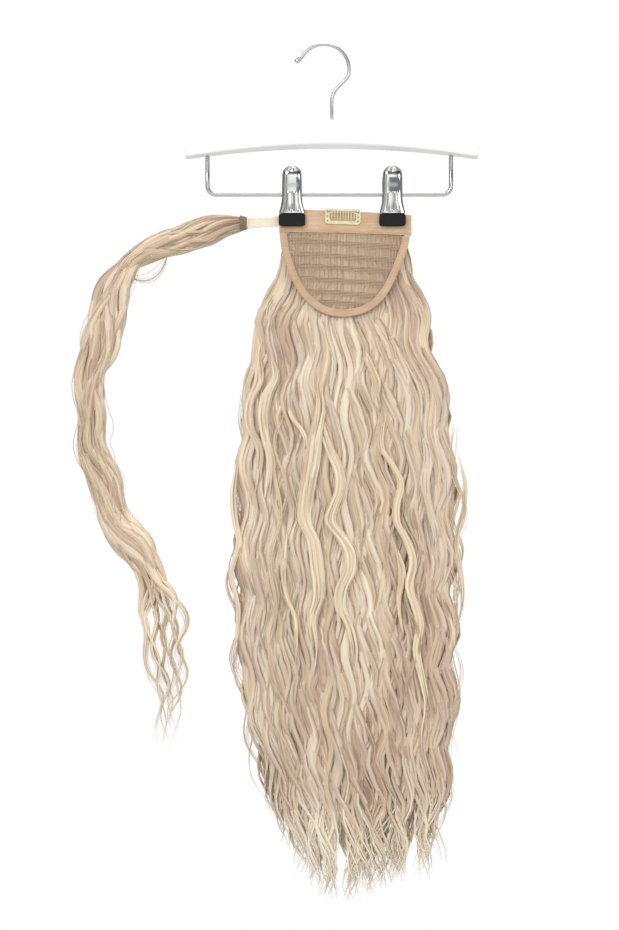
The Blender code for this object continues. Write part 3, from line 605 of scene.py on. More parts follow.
def shell_places(count, rng, layer, face):
    """Places across and through the hair, each -1 to 1, for count locks of one layer. They are
    spread evenly across with a small shuffle, and lie on the rounded-box outline
    |a| ^ p + |b| ^ p = layer ^ p, on the front where face is -1 and on the back where it is 1.
    """
    a = np.linspace(-0.985, 0.985, count) + rng.normal(0, 0.5 / count, count)
    a = np.clip(a, -0.99, 0.99)
    b = face * (1 - np.abs(a) ** FALL_SHAPE) ** (1 / FALL_SHAPE)
    return a * (0.4 + 0.6 * layer), b * layer


def fall_paths(a, b, top, tip, wave, steps):
    """Middle lines of the hanging locks, in metres. At height z a lock lies at a and b times the
    hair's half width and half depth from its middle, and below SPREAD_Z the sides draw in while the
    middle hangs straight. Below CLUMP_Z it is drawn towards the nearest clump. A wave is added:
    height times sin(phase + 2 pi z / length) across, and a seventh of that, a quarter turn later,
    through the hair. Both grow in over the first 90 mm, the wave again by a third near the tips, and
    above the base's lower edge nothing comes forward of the net.
    """
    a, b, top, tip = (row[:, None] for row in (a, b, top, tip))
    wave = {key: row[:, None] for key, row in wave.items()}
    z = top + (tip - top) * even(steps)
    middle_x, _, half_x, _ = fall_at(np.maximum(z, SPREAD_Z))
    low_middle, middle_y, low_half, half_y = fall_at(z)
    left_in = (low_middle - low_half) - (middle_x - half_x)
    right_in = (low_middle + low_half) - (middle_x + half_x)
    x = middle_x + a * half_x
    x = x + left_in * ((1 - a) / 2) ** DRAW_IN + right_in * ((1 + a) / 2) ** DRAW_IN
    y = middle_y + b * (half_y - 1.6) * (1 - 0.6 * ease((THIN_Z - z) / 70))
    end_x = x[:, -1:]
    nearest = CLUMPS[np.abs(CLUMPS - end_x).argmin(axis=1)][:, None]
    x = x + (nearest - end_x) * CLUMP_PULL * ease((CLUMP_Z - z) / 90)
    grow = ease((FALL_TOP - z) / GROW_OVER)
    height = wave["height"] * (0.1 + 0.9 * grow) * (1 + 0.35 * ease((-700 - z) / 90))
    turn = wave["phase"] + TAU * z / wave["length"] + 0.45 * np.sin(z / 88 + wave["drift"])
    x = x + height * np.sin(turn) + 2.6 * grow * np.sin(z / 60 + wave["drift"] * 2.3)
    y = y + WAVE_THROUGH * height * np.cos(turn) * grow
    y = y + (np.maximum(y, NET_BACK_Y) - y) * ease((z - NECK_Z + 8) / 14)
    return xyz(x, y, z) * MM, turn


def group_waves(a, rng, spread, groups, height, length):
    """Waves for locks at places a: locks that lie together share a wave, less a little of their
    own. A group's wave passes smoothly into the next. Returns height, length, phase and drift.
    """
    count, many = len(a), groups + 3
    place = (a + 1) / 2 * groups + rng.normal(0, 0.13, count)
    knots = np.arange(-1, groups + 2)
    known = np.cumsum(rng.uniform(0.7, 2.3, many) * rng.choice([-1, 1], many))
    tall, long = rng.uniform(0.75, 1.25, many), rng.uniform(0.93, 1.07, many)
    step = np.floor(place) + ease(place - np.floor(place))
    return {
        "height": height * np.interp(step, knots, tall) * rng.uniform(0.82, 1.18, count),
        "length": length * np.interp(step, knots, long) * rng.normal(1, 0.012, count),
        "phase": np.interp(step, knots, known) + rng.normal(0, spread, count),
        "drift": np.interp(step, knots, known[::-1]) + rng.normal(0, 0.3, count),
    }


def fall_tips(a, rng, loss=34):
    """Where locks at places a end: the tip line, raised by a random length with a spread of loss."""
    x = 23 + 109 * a + 26 * ((1 - a) / 2) ** DRAW_IN - 11 * ((1 + a) / 2) ** DRAW_IN
    return np.interp(x, *TIP_LINE.T) + np.abs(rng.normal(0, loss, len(a)))


def lock_taper(steps, root, tip):
    """Width along a lock: it grows over the first share root and runs out over the last share tip,
    as (1 - v) ^ 0.8.
    """
    share = even(steps)
    grow = 0.45 + 0.55 * ease(share / root)
    fade = np.clip((share - (1 - tip)) / tip, 0, 1)
    return grow * np.maximum((1 - fade) ** 0.8, 0.04)


def fall_tone(x, z):
    """How pale the hair is at a place: taupe at the roots and on the right, paler left of the middle
    and browner towards its lower end, until the thin ends turn pale again.
    """
    pale = 0.515 + 0.08 * bell(x, -25, 45) - 0.04 * ease((x - 55) / 50)
    roots = -0.08 * np.exp((z - NECK_Z) / 26) * (z < NECK_Z) - 0.04 * (z >= NECK_Z)
    low = -0.10 * ease((-520 - z) / 150) + 0.55 * ease((-730 - z) / 95)
    patches = 0.08 * np.sin(x / 15 + 1.3 * np.sin(z / 70)) + 0.06 * np.sin(z / 47 + x / 23)
    return pale + roots + low + patches


def build_locks(name, paths, turn, half_width, half_depth, facing, tone, warmth, rng, sides=4):
    """Locks as flat rods whose broad side turns with their wave, so that they catch the light on
    each bend, and whose tone has a painted highlight on each crest and painted shade in each trough.
    """
    count, steps, _ = paths.shape
    across = unit(np.cross(np.gradient(paths, axis=1), facing))
    twist = 0.12 * np.sin(turn + rng.uniform(0, TAU, (count, 1))) + rng.normal(0, 0.07, (count, 1))
    turned = unit(facing * np.cos(twist)[..., None] + across * np.sin(twist)[..., None])
    swell = 1 + 0.22 * np.sin(0.7 * turn + rng.uniform(0, TAU, (count, 1)))
    wide, deep = half_width * swell * MM, half_depth * swell * MM
    # Painted highlight and shade: the tone is raised on each wave's crest and lowered in each trough.
    crest_lit_tone = np.clip(tone + 0.05 * np.cos(turn), 0, 1)
    values = {"tone": crest_lit_tone, "warmth": warmth}
    mesh = rods(name, paths, wide, deep, turned, sides, values, rng.uniform(0, 2, count))
    return mesh, {"paths": paths, "wide": wide, "deep": deep, "facing": turned, **values}


def strands_over(name, locks, count, rng, stray=0.05, reach=1.15):
    """Fine strands that follow the locks: a strand keeps its own place on its lock's outline, just
    proud of it, adds a small wave of its own, and runs a little past the lock's tip. A share of them
    stray further.
    """
    total, steps, _ = locks["paths"].shape
    weight = locks["wide"].max(axis=1)
    parent = rng.choice(total, count, p=weight / weight.sum())
    path, facing = locks["paths"][parent], locks["facing"][parent]
    along = unit(np.gradient(path, axis=1))
    side = unit(np.cross(along, facing))
    face = np.cross(side, along)
    angle = rng.uniform(0, TAU, (count, 1))
    sideways, outward = np.cos(angle), np.sin(angle) * 0.8 + 0.35
    strays = rng.random((count, 1)) < stray
    lift = np.where(strays, rng.uniform(1.2, 2.6, (count, 1)), rng.uniform(0.85, reach, (count, 1)))
    share = even(steps)
    lift = lift * (1 + 0.6 * ease((share - 0.8) / 0.2))
    loose = 1.4 * MM * ease((share - 0.75) / 0.25)
    own = np.where(strays, rng.uniform(1, 3.2, (count, 1)), rng.uniform(0.1, 0.6, (count, 1))) * MM
    own = own * ease((FALL_TOP * MM - path[..., 2]) / (GROW_OVER * MM))
    length = rng.uniform(34, 80, (count, 1)) * MM
    phase = rng.uniform(0, TAU, (2, count, 1))
    run = TAU * (path[:, :1, 2] - path[:, :, 2]) / length
    shift = sideways * (locks["wide"][parent] * lift + loose) + own * np.sin(run + phase[0])
    push = outward * (locks["deep"][parent] * lift + loose * 0.6) + 0.6 * own * np.sin(run + phase[1])
    over = rng.uniform(-8, 14, (count, 1)) * MM * ease((share - 0.8) / 0.2)
    line = path + shift[..., None] * side + push[..., None] * face + over[..., None] * along[:, -1:]
    radius = rng.uniform(0.26, 0.48, (count, 1)) * MM * lock_taper(steps, 0.06, 0.5)
    tone = locks["tone"][parent] + rng.normal(0.03, 0.06, (count, 1))
    warmth = locks["warmth"][parent] + rng.normal(0, 0.12, (count, 1))
    values = {"tone": np.clip(tone, 0, 1), "warmth": np.clip(warmth, 0, 1)}
    return rods(name, line, radius, radius * 0.8, facing, 3, values, rng.uniform(0, 2, count))


def outward(a, b, steps):
    """The way a lock's broad side faces: out from the hair's middle, mostly forwards or back."""
    way = xyz(a * 0.55, np.sign(b) * (0.25 + np.abs(b)), 0)
    return np.repeat(unit(way)[:, None], steps, axis=1)


def wrap_frames(steps):
    """The wrap strand's middle line in metres, the way across it, and its half width."""
    line = resample(WRAP_STATIONS, steps)
    middle = xyz(line[:, 0], 0, line[:, 1])
    run = unit(np.gradient(middle, axis=0))
    return middle * MM, xyz(-run[:, 2], 0, run[:, 0]), line[:, 2] / 2 * MM


def panel_edge(inset):
    """The binding's middle line moved inwards by inset, in millimetres."""
    line = resample(BINDING_LINE, 200)
    return line + inset * beside(line)


# Settings


class HairSettings(bpy.types.PropertyGroup):
    """Sizes and amounts of the hair."""

    front_locks: IntProperty(name="Front locks", description="Locks on the front", default=200, min=8)
    back_locks: IntProperty(name="Back locks", description="Locks on the back", default=150, min=8)
    strands: IntProperty(name="Strands", description="Fine strands on the hanging hair", default=760, min=0)
    wrap_strands: IntProperty(name="Wrap strands", description="Strands on the wrap", default=110, min=0)
    wave_height: FloatProperty(name="Wave height", description="A wave's swing, in mm", default=5.2, min=0)
    wave_length: FloatProperty(name="Wave length", description="Crest to crest, in mm", default=77, min=10)


class StudioSettings(bpy.types.PropertyGroup):
    """The camera and the light."""

    distance: FloatProperty(name="Distance", description="Camera to hook", default=2.2, unit="LENGTH")
    key: FloatProperty(name="Key light", description="Power of the key light", default=26, unit="POWER")
    ambient: FloatProperty(name="Ambient", description="Strength of the light all round", default=1.09)
    paper: FloatVectorProperty(name="Background", description="Colour behind the piece", subtype="COLOR",
                               size=3, default=(1, 1, 1))


# Operators


class BuildStudio(bpy.types.Operator):
    """Sets the camera as the picture was taken, soft lights and a pale floor"""

    bl_idname = "hairpiece.studio"
    bl_label = "Studio"

    def execute(self, context):
        settings = context.scene.hairpiece_studio
        camera = bpy.data.objects.new("camera", bpy.data.cameras.new("camera"))
        context.scene.collection.objects.link(camera)
        camera.data.sensor_width = SENSOR
        camera.data.lens = SENSOR * settings.distance / (VIEW_HEIGHT * MM)
        camera.location = (VIEW_MIDDLE[0] * MM, -settings.distance, VIEW_MIDDLE[1] * MM)
        camera.rotation_euler = (math.pi / 2, 0, 0)
        context.scene.camera = camera
        for name, place, size, power, aim in (
            ("key", (-1.3, -2.3, 1.3), 1.3, settings.key, (0, 0, -0.45)),
            ("fill", (1.9, -1.9, 0.1), 1.6, settings.key * 0.35, (0, 0, -0.45)),
            ("top", (0.2, 0.4, 1.9), 1.4, settings.key * 0.5, (0, 0, -0.3)),
        ):
            lamp = bpy.data.objects.new(name, bpy.data.lights.new(name, "AREA"))
            lamp.data.shape = "DISK"
            lamp.data.size = size
            lamp.data.energy = power
            lamp.location = place
            way = np.array(aim) - np.array(place)
            pitch = math.atan2(math.hypot(way[0], way[1]), -way[2])
            lamp.rotation_euler = (pitch, 0, math.atan2(way[1], way[0]) - math.pi / 2)
            context.scene.collection.objects.link(lamp)
        context.scene.view_settings.view_transform = "Standard"
        self.light_room(context, settings)
        floor = bpy.data.meshes.new("floor")
        edge = TAU * np.arange(64) / 64
        ring = xyz(FLOOR_RADIUS * np.cos(edge), FLOOR_RADIUS * np.sin(edge), FLOOR_Z)
        floor.from_pydata(ring.tolist(), [], [list(range(64))])
        floor.materials.append(paper_material())
        ground = bpy.data.objects.new("floor", floor)
        context.scene.collection.objects.link(ground)
        return {"FINISHED"}

    def light_room(self, context, settings):
        """The room round the piece: white to look at and softly lit from above. Reflections see
        white walls with a dark card overhead, one low on the right and dark gaps at both sides,
        which give the chrome its edges.
        """
        world = bpy.data.worlds.new("studio")
        world.use_nodes = True
        tree = world.node_tree
        tree.nodes.clear()
        way = add(tree, "TexCoord").outputs["Generated"]
        split = add(tree, "SeparateXYZ", inputs={"Vector": way}).outputs
        rise, turn = (carry(tree, split[axis], 0, 1, -1) for axis in ("Z", "X"))

        def ramp(value, *stops):
            colours = [(at, grey(shade)) for at, shade in stops]
            return add(tree, "ValToRGB", {"stops": colours}, {"Fac": value}).outputs["Color"]

        soft = ramp(rise, (0, 0.3), (0.42, 0.6), (0.5, 0.96), (0.8, 1))
        walls = mix(
            tree, 1,
            ramp(rise, (0, 0.6), (0.48, 1), (0.58, 1), (0.66, 0.16), (0.80, 0.10), (0.88, 0.9)),
            ramp(turn, (0, 0.12), (0.2, 0.6), (0.3, 0.2), (0.42, 1), (0.58, 1), (0.68, 0.2),
                 (0.82, 0.6), (1, 0.15)),
            "MULTIPLY",
        )
        low = ramp(rise, (0.10, 0), (0.18, 1), (0.42, 1), (0.46, 0))
        right = ramp(turn, (0.50, 0), (0.54, 1))
        card = mix(tree, mix(tree, 1, low, right, "MULTIPLY"), walls, linear("#6E757E"))
        lit, mirrored, seen = (
            add(tree, "Background", inputs={"Color": colour, "Strength": strength}).outputs[0]
            for colour, strength in ((soft, settings.ambient), (card, 1.15), ((*settings.paper, 1), 1))
        )
        path = add(tree, "LightPath").outputs
        first = add(tree, "MixShader", inputs={0: path["Is Glossy Ray"], 1: lit, 2: mirrored}).outputs[0]
        both = add(tree, "MixShader", inputs={0: path["Is Camera Ray"], 1: first, 2: seen})
        out = add(tree, "OutputWorld")
        tree.links.new(both.outputs[0], out.inputs["Surface"])
        context.scene.world = world


class BuildHanger(bpy.types.Operator):
    """Makes the hook, the moulded body and the trouser bar"""

    bl_idname = "hairpiece.hanger"
    bl_label = "Hanger"

    def execute(self, context):
        chrome_material()
        wire = chrome_material("drawn_chrome_wire", "#DADAD8", (0.26, 0.36))
        self.hook(wire)
        self.body()
        self.bar(wire)
        return {"FINISHED"}

    def hook(self, chrome):
        """A bead, nearly half a circle, a reverse bend and a straight stem."""
        turn = np.radians(np.linspace(*HOOK_SWEEP, 60))
        circle = xyz(HOOK_R * np.cos(turn), HOOK_CENTRE_Z + HOOK_R * np.sin(turn))
        t = even(30)[1:, None]
        lead = circle[-1] + BEND_LEAD * np.array([math.sin(turn[-1]), -math.cos(turn[-1])])
        trail, end = (np.array([STEM_X, z]) for z in STEM_BEND)
        bend = (1 - t) ** 3 * circle[-1] + 3 * t * (1 - t) ** 2 * lead
        bend = bend + 3 * t**2 * (1 - t) * trail + t**3 * end
        lip = circle[0] + np.linspace(1, 0, 9)[:-1, None] * (np.array(HOOK_LIP) - circle[0])
        flat = np.concatenate([lip, circle, bend, [[STEM_X, STEM_LOW]]])
        radii = np.full(len(flat), HOOK_WIRE_R)
        radii[:8] *= 1 + BEAD_SWELL * np.sin(np.linspace(0.25, 1, 8) * math.pi) ** 0.6
        mesh = wire_mesh("hook_wire", xyz(flat[:, 0], 0, flat[:, 1]), radii, 20)
        piece("hook_wire", mesh, chrome, ["hook"])

    def body(self):
        """A rounded-box outline carried from end to end between two arches: the top falls as
        |u| ^ 1.6 and the underside as u squared, u being -1 at the left end and 1 at the right.
        """
        u = np.linspace(-1, 1, 121)
        top = BODY_TOP[0] - BODY_TOP[1] * np.abs(u) ** 1.6
        low = BODY_LOW[0] - BODY_LOW[1] * u**2
        shrink = (0.72 + 0.28 * np.sqrt(ease((1 - np.abs(u)) / 0.02)))[:, None]
        box, height = rounded(64, 0.3, 0.6)
        chamfer = 1 - 0.85 * np.clip((-0.68 - height) / 0.32, 0, 1)
        x = STEM_X + u[:, None] * (BODY_HALF_LENGTH - 1 + height)
        y = BODY_THICKNESS / 2 * shrink * box * chamfer
        z = ((top + low) / 2)[:, None] + ((top - low) / 2)[:, None] * shrink**0.5 * height
        mesh = skin("hanger_moulding", xyz(x, y, z)[None] * MM, sharp=50)
        piece("hanger_moulding", mesh, moulding_material(), ["hanger_body"])

    def bar(self, chrome):
        """One wire: down, a quarter circle, across, a quarter circle and up."""
        left, right = BAR_SIDES
        turn = np.radians(np.linspace(180, 270, 13))
        near = xyz(left + BAR_CORNER_R * (1 + np.cos(turn)), BAR_Z + BAR_CORNER_R * (1 + np.sin(turn)))
        far = near[::-1] * [-1, 1] + [left + right, 0]
        flat = np.concatenate([[[left, BAR_TOP]], near, far, [[right, BAR_TOP]]])
        mesh = wire_mesh("bar_wire", xyz(flat[:, 0], 0, flat[:, 1]), BAR_WIRE_R, 20)
        piece("bar_wire", mesh, chrome, ["hanger_bar"])


class BuildClips(bpy.types.Operator):
    """Makes the two hanger clips: pressed jaws, springs and rubber tips"""

    bl_idname = "hairpiece.clips"
    bl_label = "Hanger clips"

    def execute(self, context):
        chrome, rubber = bpy.data.materials["polished_chrome_plate"], rubber_material()
        for which, x in CLIP_X.items():
            for face, side in (("front", -1), ("rear", 1)):
                self.jaw(f"{which}_{face}_jaw_plate", f"clip_{which}_{face}_jaw", x, side, chrome)
                self.tip(f"{which}_{face}_rubber_tip", f"clip_{which}_{face}_pad", x, side, rubber)
            self.spring(f"{which}_spring_coil", f"clip_{which}_spring", x, chrome)
        return {"FINISHED"}

    def jaw(self, name, node, x, side, chrome):
        """A pressed sheet over u across and z down: half_width(z) times u across, and stand_off(z)
        out, less a turned-in edge that goes as u to the sixth, a raised rib each side of a sunk
        middle groove below the bar, and a round dimple near the top.
        """
        z = np.linspace(JAW_LEVELS[0, 0], CLIP_LOW_Z, 72)
        levels = JAW_LEVELS[::-1]
        half, off = (np.interp(z, levels[:, 0], levels[:, c]) for c in (1, 2))
        head = z > HEAD_Z
        half[head] = HEAD_HALF * np.sqrt(np.clip(1 - ((HEAD_MIDDLE - z[head]) / HEAD_RISE) ** 2, 0.04, 1))
        for _ in range(2):
            off = np.convolve(np.pad(off, 7, mode="edge"), np.ones(15) / 15, mode="valid")
        off = off - 2.2 * np.clip((z + 133) / 12, 0, 1) ** 2
        u = np.linspace(-1, 1, 49)
        z, half, off = z[:, None], half[:, None], off[:, None]
        flange = np.clip((off - 2) / 5, 0, 1) * 2.4 * np.abs(u) ** 6
        crown = 0.7 * (1 - u**2) * ease((-121 - z) / 8)
        low = ease((GROOVE_ENDS[0] - z) / 1.5) * ease((z - GROOVE_ENDS[1]) / 2)
        groove = -1.4 * bell(u, 0, 0.10, 4) * low
        ribs = 0.75 * bell(np.abs(u), 0.36, 0.13, 4) * low
        spot = bell((u * half) ** 2 + (z - DIMPLE_Z) ** 2, 0, DIMPLE_R**2)
        yaw = math.copysign(math.tan(math.radians(3)), x) * u * half
        y = side * (off - flange + crown * 0.6 + groove + ribs - spot) + yaw
        index = np.arange(y.size).reshape(y.shape)
        quads = xyz(index[:-1, :-1], index[1:, :-1], index[1:, 1:], index[:-1, 1:]).reshape(-1, 4)
        if side > 0:
            quads = quads[:, ::-1]
        mesh = bpy.data.meshes.new(name)
        mesh.from_pydata((xyz(x + u * half, y, z) * MM).reshape(-1, 3).tolist(), [], quads.tolist())
        ears = [self.ear(name, x + way * EAR_X[side], side) for way in (-1, 1)]
        shell = bpy.data.objects.new(name, mesh)
        bpy.context.scene.collection.objects.link(shell)
        sheet = shell.modifiers.new("sheet", "SOLIDIFY")
        sheet.thickness = JAW_SHEET * MM
        sheet.offset = 0
        bpy.context.view_layer.update()
        graph = bpy.context.evaluated_depsgraph_get()
        solid = bpy.data.meshes.new_from_object(shell.evaluated_get(graph))
        bpy.data.objects.remove(shell)
        solid.shade_smooth()
        solid.set_sharp_from_angle(angle=math.radians(50))
        piece(name, joined(name, [solid, *ears]), chrome, [node])

    def ear(self, name, x, side):
        """A flat ear: a ring round the bar that widens into a bracket towards the jaw. Its outline
        is a circle of 4 mm round the bar, carried out to the jaw on one side.
        """
        count = 40
        turn = TAU * np.arange(count) / count
        outer_y = 3.9 * np.cos(turn)
        outer_y = np.where(outer_y * side > 0, outer_y * EAR_REACH / 3.9, outer_y)
        outer = (outer_y, BAR_Z + EAR_OUTER_R * np.sin(turn))
        inner = (EAR_INNER_R * np.cos(turn), BAR_Z + EAR_INNER_R * np.sin(turn))
        near, far = x - EAR_HALF_SHEET, x + EAR_HALF_SHEET
        loops = [xyz(near, *inner), xyz(near, *outer), xyz(far, *outer), xyz(far, *inner)]
        index = np.arange(count * 4).reshape(count, 4)
        after = np.roll(index, -1, axis=0)
        quads = xyz(index, np.roll(index, -1, 1), np.roll(after, -1, 1), after).reshape(-1, 4)
        mesh = bpy.data.meshes.new(name + "_ear")
        mesh.from_pydata((np.stack(loops, axis=1) * MM).reshape(-1, 3).tolist(), [], quads.tolist())
        return mesh

    def tip(self, name, node, x, side, rubber):
        """A soft block: a rounded-box outline carried through its thickness, drawn in at both ends,
        with a flat cap on its front.
        """
        layers = np.array([0, 0.02, 0.08, 0.2, 0.5, 0.8, 0.92, 0.98, 1, 1, 1, 1, 1])[:, None]
        inset = np.array([0.9, 0.5, 0.15, 0, 0, 0, 0.2, 0.6, 1.2, 1.2, 1.2, 1.2, 1.2])[:, None]
        cap = np.array([1] * 9 + [0.9, 0.6, 0.3, 0.08])[:, None]
        outline = rounded(96, 0.34, 0.34, 0)
        wide, high = ((half - inset) * line * cap for half, line in zip(PAD_HALF, outline))
        middle_z = CLIP_LOW_Z - GAP - PAD_HALF[1]
        rings = xyz(x + wide, side * (PAD_NEAR + PAD_DEPTH * layers), middle_z + high)[None] * MM
        piece(name, skin(name, rings, sharp=55), rubber, [node])

    def spring(self, name, node, x, chrome):
        """A coil of 3.5 turns round the bar."""
        share = even(140)
        turn = share * SPRING_TURNS * TAU
        points = xyz(x + (share - 0.5) * SPRING_LENGTH, SPRING_R * np.cos(turn),
                     BAR_Z + SPRING_R * np.sin(turn))
        mesh = wire_mesh(name, points, SPRING_WIRE_R, 10, (1, 0, 0))
        piece(name, mesh, chrome, [node])


class BuildBase(bpy.types.Operator):
    """Makes the satin band, the binding, the net, its weft rows and the wrap's strap"""

    bl_idname = "hairpiece.base"
    bl_label = "Band and net"

    def execute(self, context):
        self.band(satin_material("peach_polyester_satin", "#C19D78", "#D2B597"))
        self.binding(satin_material("peach_bias_tape", "#BC9A7B", "#CCB094"))
        self.net()
        self.wefts()
        self.strap()
        self.stitches()
        return {"FINISHED"}

    def band(self, satin):
        """A folded tape: an outline of flat faces and round edges, carried along x, with faint
        ripples and a fold standing up near its right end.
        """
        x = np.linspace(BAND_TOP[0, 0], BAND_TOP[-1, 0], 160)[:, None]
        top, low = (np.interp(x, *line.T) for line in (BAND_TOP, BAND_LOW))
        out, up = rounded(64, 0.5, 0.35)
        puff = 1 - 0.18 * bell(np.abs(up), 0.86, 0.05)
        fold = 0.5 * bell(x, 86, 0.8) - 0.5 * bell(x, 84.4, 0.6)
        ripple = 0.06 * np.sin(x * 0.55 + 2 * up) + fold
        close = np.sqrt(np.clip(1 - (np.abs(x - 21.3) / 66.2) ** 60, 0.05, 1))
        y = (BAND_HALF_DEPTH * puff + ripple * 0.5) * out * close
        rings = xyz(x, y, (top + low) / 2 + (top - low) / 2 * up)[None] * MM
        band = piece("satin_band", skin("satin_band", rings), satin, ["top_band"])

    def binding(self, satin):
        """A bias tape folded round the net's edge: a flat oval section carried along the panel's
        edge, which puckers a little at each stitch.
        """
        steps = 220
        line = resample(BINDING_LINE, steps)
        inward = beside(line)
        length = np.linalg.norm(np.diff(line, axis=0), axis=1).sum()
        wide, thick = rounded(24, 0.6, 0.7)
        pucker = 1 + 0.05 * np.sin(np.linspace(0, length * 1.6, steps))[:, None]
        groove = 1 - 0.25 * bell(wide, 0.68, 0.14)
        near = np.arange(steps)
        level = ease(np.minimum(near, near[::-1]) / 9)
        inward[:, 1] *= level
        line[:, 1] += 0.85 * (1 - level)
        flat = line[:, None] + (BINDING_WIDTH / 2 * wide)[:, None] * inward[:, None]
        rings = xyz(flat[..., 0], 1.1 * thick * groove * pucker, flat[..., 1])[None] * MM
        tape = piece("bias_binding", skin("bias_binding", rings), satin, ["net_binding"])

    def panel_row(self, row, inset):
        """Where a row of the panel, given as its height at each x, begins and ends inside the
        binding: the x of both ends.
        """
        edge = panel_edge(inset)
        x = np.linspace(edge[0, 0], edge[-1, 0], 900)
        within = x[np.interp(x, edge[:, 0], edge[:, 1]) < row(x)]
        return within[0], within[-1]

    def net(self):
        """Hexagonal net drawn as crossed yarns 1.5 mm apart: those that run down swing by 0.45 mm to
        meet their neighbours, all weave over each other, and each is cut off at the binding.
        """
        pitch, inset, weave = NET_PITCH, BINDING_WIDTH / 2 + GAP, TAU / 3
        share = even(60)
        edge = panel_edge(inset)
        columns = np.arange(edge[0, 0] + 0.2, edge[-1, 0] - 0.1, pitch)[:, None]
        low = np.interp(columns, edge[:, 0], edge[:, 1])
        high = np.interp(columns, *BAND_LOW.T) - GAP
        down_z = high + (low - high) * share
        down_x = columns + NET_SWING * np.cos(columns / pitch * math.pi) * np.sin(down_z * TAU / 4.4)
        down = xyz(down_x, 0.16 * np.sin((down_z + columns) * weave), down_z)
        drops = np.arange(1.2, 76, pitch)
        ends = np.array([self.panel_row(lambda x: np.interp(x, *BAND_LOW.T) - drop, inset)
                         for drop in drops])
        drops = drops[:, None]
        along_x = ends[:, :1] + (ends[:, 1:] - ends[:, :1]) * share
        along_z = np.interp(along_x, *BAND_LOW.T) - drops + 0.12 * np.sin(along_x * 2 + drops * 3)
        along = xyz(along_x, -0.16 * np.sin((along_x + drops) * weave), along_z)
        radius = NET_YARN_R * MM
        mesh = rods("net_yarns", np.concatenate([down, along]) * MM, radius, radius * 0.7, FRONT, 4)
        yarn = yarn_material("beige_nylon_net_yarn", "#D6B696", "#E8CEB0")
        net = piece("net_yarns", mesh, yarn, ["net_panel"])

    def wefts(self):
        """Each weft row as a sewn track of doubled hair: fibres about 0.7 mm wide that lie along the
        row, 9 to 20 mm long, in a band about 4 mm high, with the seam's thread along its top.
        """
        rng = np.random.default_rng(41)
        root = hair_material("taupe_weft_roots", WEFT_BROWN, 0.6)
        share = even(7)
        for number, level in enumerate(WEFT_LEVELS, 1):
            def row(x):
                return level + WEFT_SLOPE * (x - PANEL_X)

            first, last = self.panel_row(row, BINDING_WIDTH / 2 + 1.2)
            count = int((last - first) * 2)
            x = rng.uniform(first - 4, last - 6, (count, 1))
            long = rng.uniform(9, 20, (count, 1))
            px = np.clip(x + long * share, first, last)
            place = rng.uniform(-2.5, 1.6, (count, 1))
            lean = rng.normal(0, 0.3, (count, 1)) * share
            pz = row(px) + place + 0.35 * np.sin(px * 0.45 + place * 2) + lean
            paths = xyz(px, 1.5 + 0.15 * np.sin(share * math.pi + place), pz) * MM
            radius = 0.34 * MM * np.sin(math.pi * (0.08 + 0.84 * share))
            values = {"tone": rng.uniform(0.3, 0.8, (count, 1)), "warmth": 0}
            roots = rods("roots", paths, radius, radius, FRONT, 4, values, rng.uniform(0, 1, count))
            seam_x = np.linspace(first, last, int((last - first) * 2))
            seam = xyz(seam_x, 1.2, row(seam_x) + 1 + 0.25 * np.sin(seam_x * 3.4))
            thread = wire_mesh("seam", seam, 0.32, 6)
            for key, value in (("tone", 0.75), ("warmth", 0)):
                attribute = thread.attributes.new(key, "FLOAT", "POINT")
                attribute.data.foreach_set("value", np.full(len(thread.vertices), value, np.float32))
            name = f"weft_roots_{number}"
            piece(name, joined(name, [roots, thread]), root, [f"weft_row_{number}"])

    def strap(self):
        """A soft satin tape: a flat oval section carried along a line, a little narrower at its
        middle and creased lengthways.
        """
        t = even(90)[:, None]
        x, z = (left + (right - left) * t for left, right in zip(STRAP_LEFT, STRAP_RIGHT))
        out, up = rounded(40, 0.6, 0.45)
        half = STRAP_HEIGHT / 2 * (1 - 0.04 * np.sin(math.pi * t)) * (1 + 0.015 * np.sin(t * 21))
        crease = 0.12 * np.sin(up * 7 + t * 3) + 0.08 * np.sin(t * 24)
        rings = xyz(x, 0.66 * out + crease * np.sign(out) * 0.3, z + half * up)[None] * MM
        cream = satin_material("cream_polyester_satin", "#E2D3BA", "#F0E7D7")
        strap = piece("satin_strap", skin("satin_strap", rings), cream, ["wrap_strap"])

    def stitches(self):
        """Lock stitches 2.4 mm long with gaps of 0.8 mm, along both edges of the band and along the
        binding's inner edge.
        """
        x = np.arange(-43, 84, STITCH + STITCH_GAP)
        lines = [np.stack([xyz(at, -1.12, np.interp(at, *edge.T) + way) for at in (x, x + STITCH)], axis=1)
                 for edge, way in ((BAND_TOP, -1.8), (BAND_LOW, 1.8))]
        inner = resample(panel_edge(2.6), 80)
        ends = (inner[:-1], inner[:-1] + 0.75 * np.diff(inner, axis=0))
        lines.append(np.stack([xyz(at[:, 0], -1, at[:, 1]) for at in ends], axis=1))
        both = np.concatenate(lines)
        share = even(5)
        paths = both[:, :1] + (both[:, 1:] - both[:, :1]) * share[:, None]
        paths[:, :, 1] -= 0.12 * np.sin(share * math.pi)
        mesh = rods("sewing_thread", paths * MM, 0.2 * MM, 0.2 * MM, FRONT, 6)
        piece("sewing_thread", mesh, yarn_material("peach_sewing_thread", "#D2A47A", "#E8C19B"), ())


class BuildSnapClip(bpy.types.Operator):
    """Finishes the snap comb clip and its comb"""

    bl_idname = "hairpiece.snap_clip"
    bl_label = "Snap clip"

    def execute(self, context):
        enamel = enamel_material()
        for name in ("snap_frame", "snap_comb"):
            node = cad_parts[name]
            node.data.materials.clear()
            node.data.materials.append(enamel)
        return {"FINISHED"}


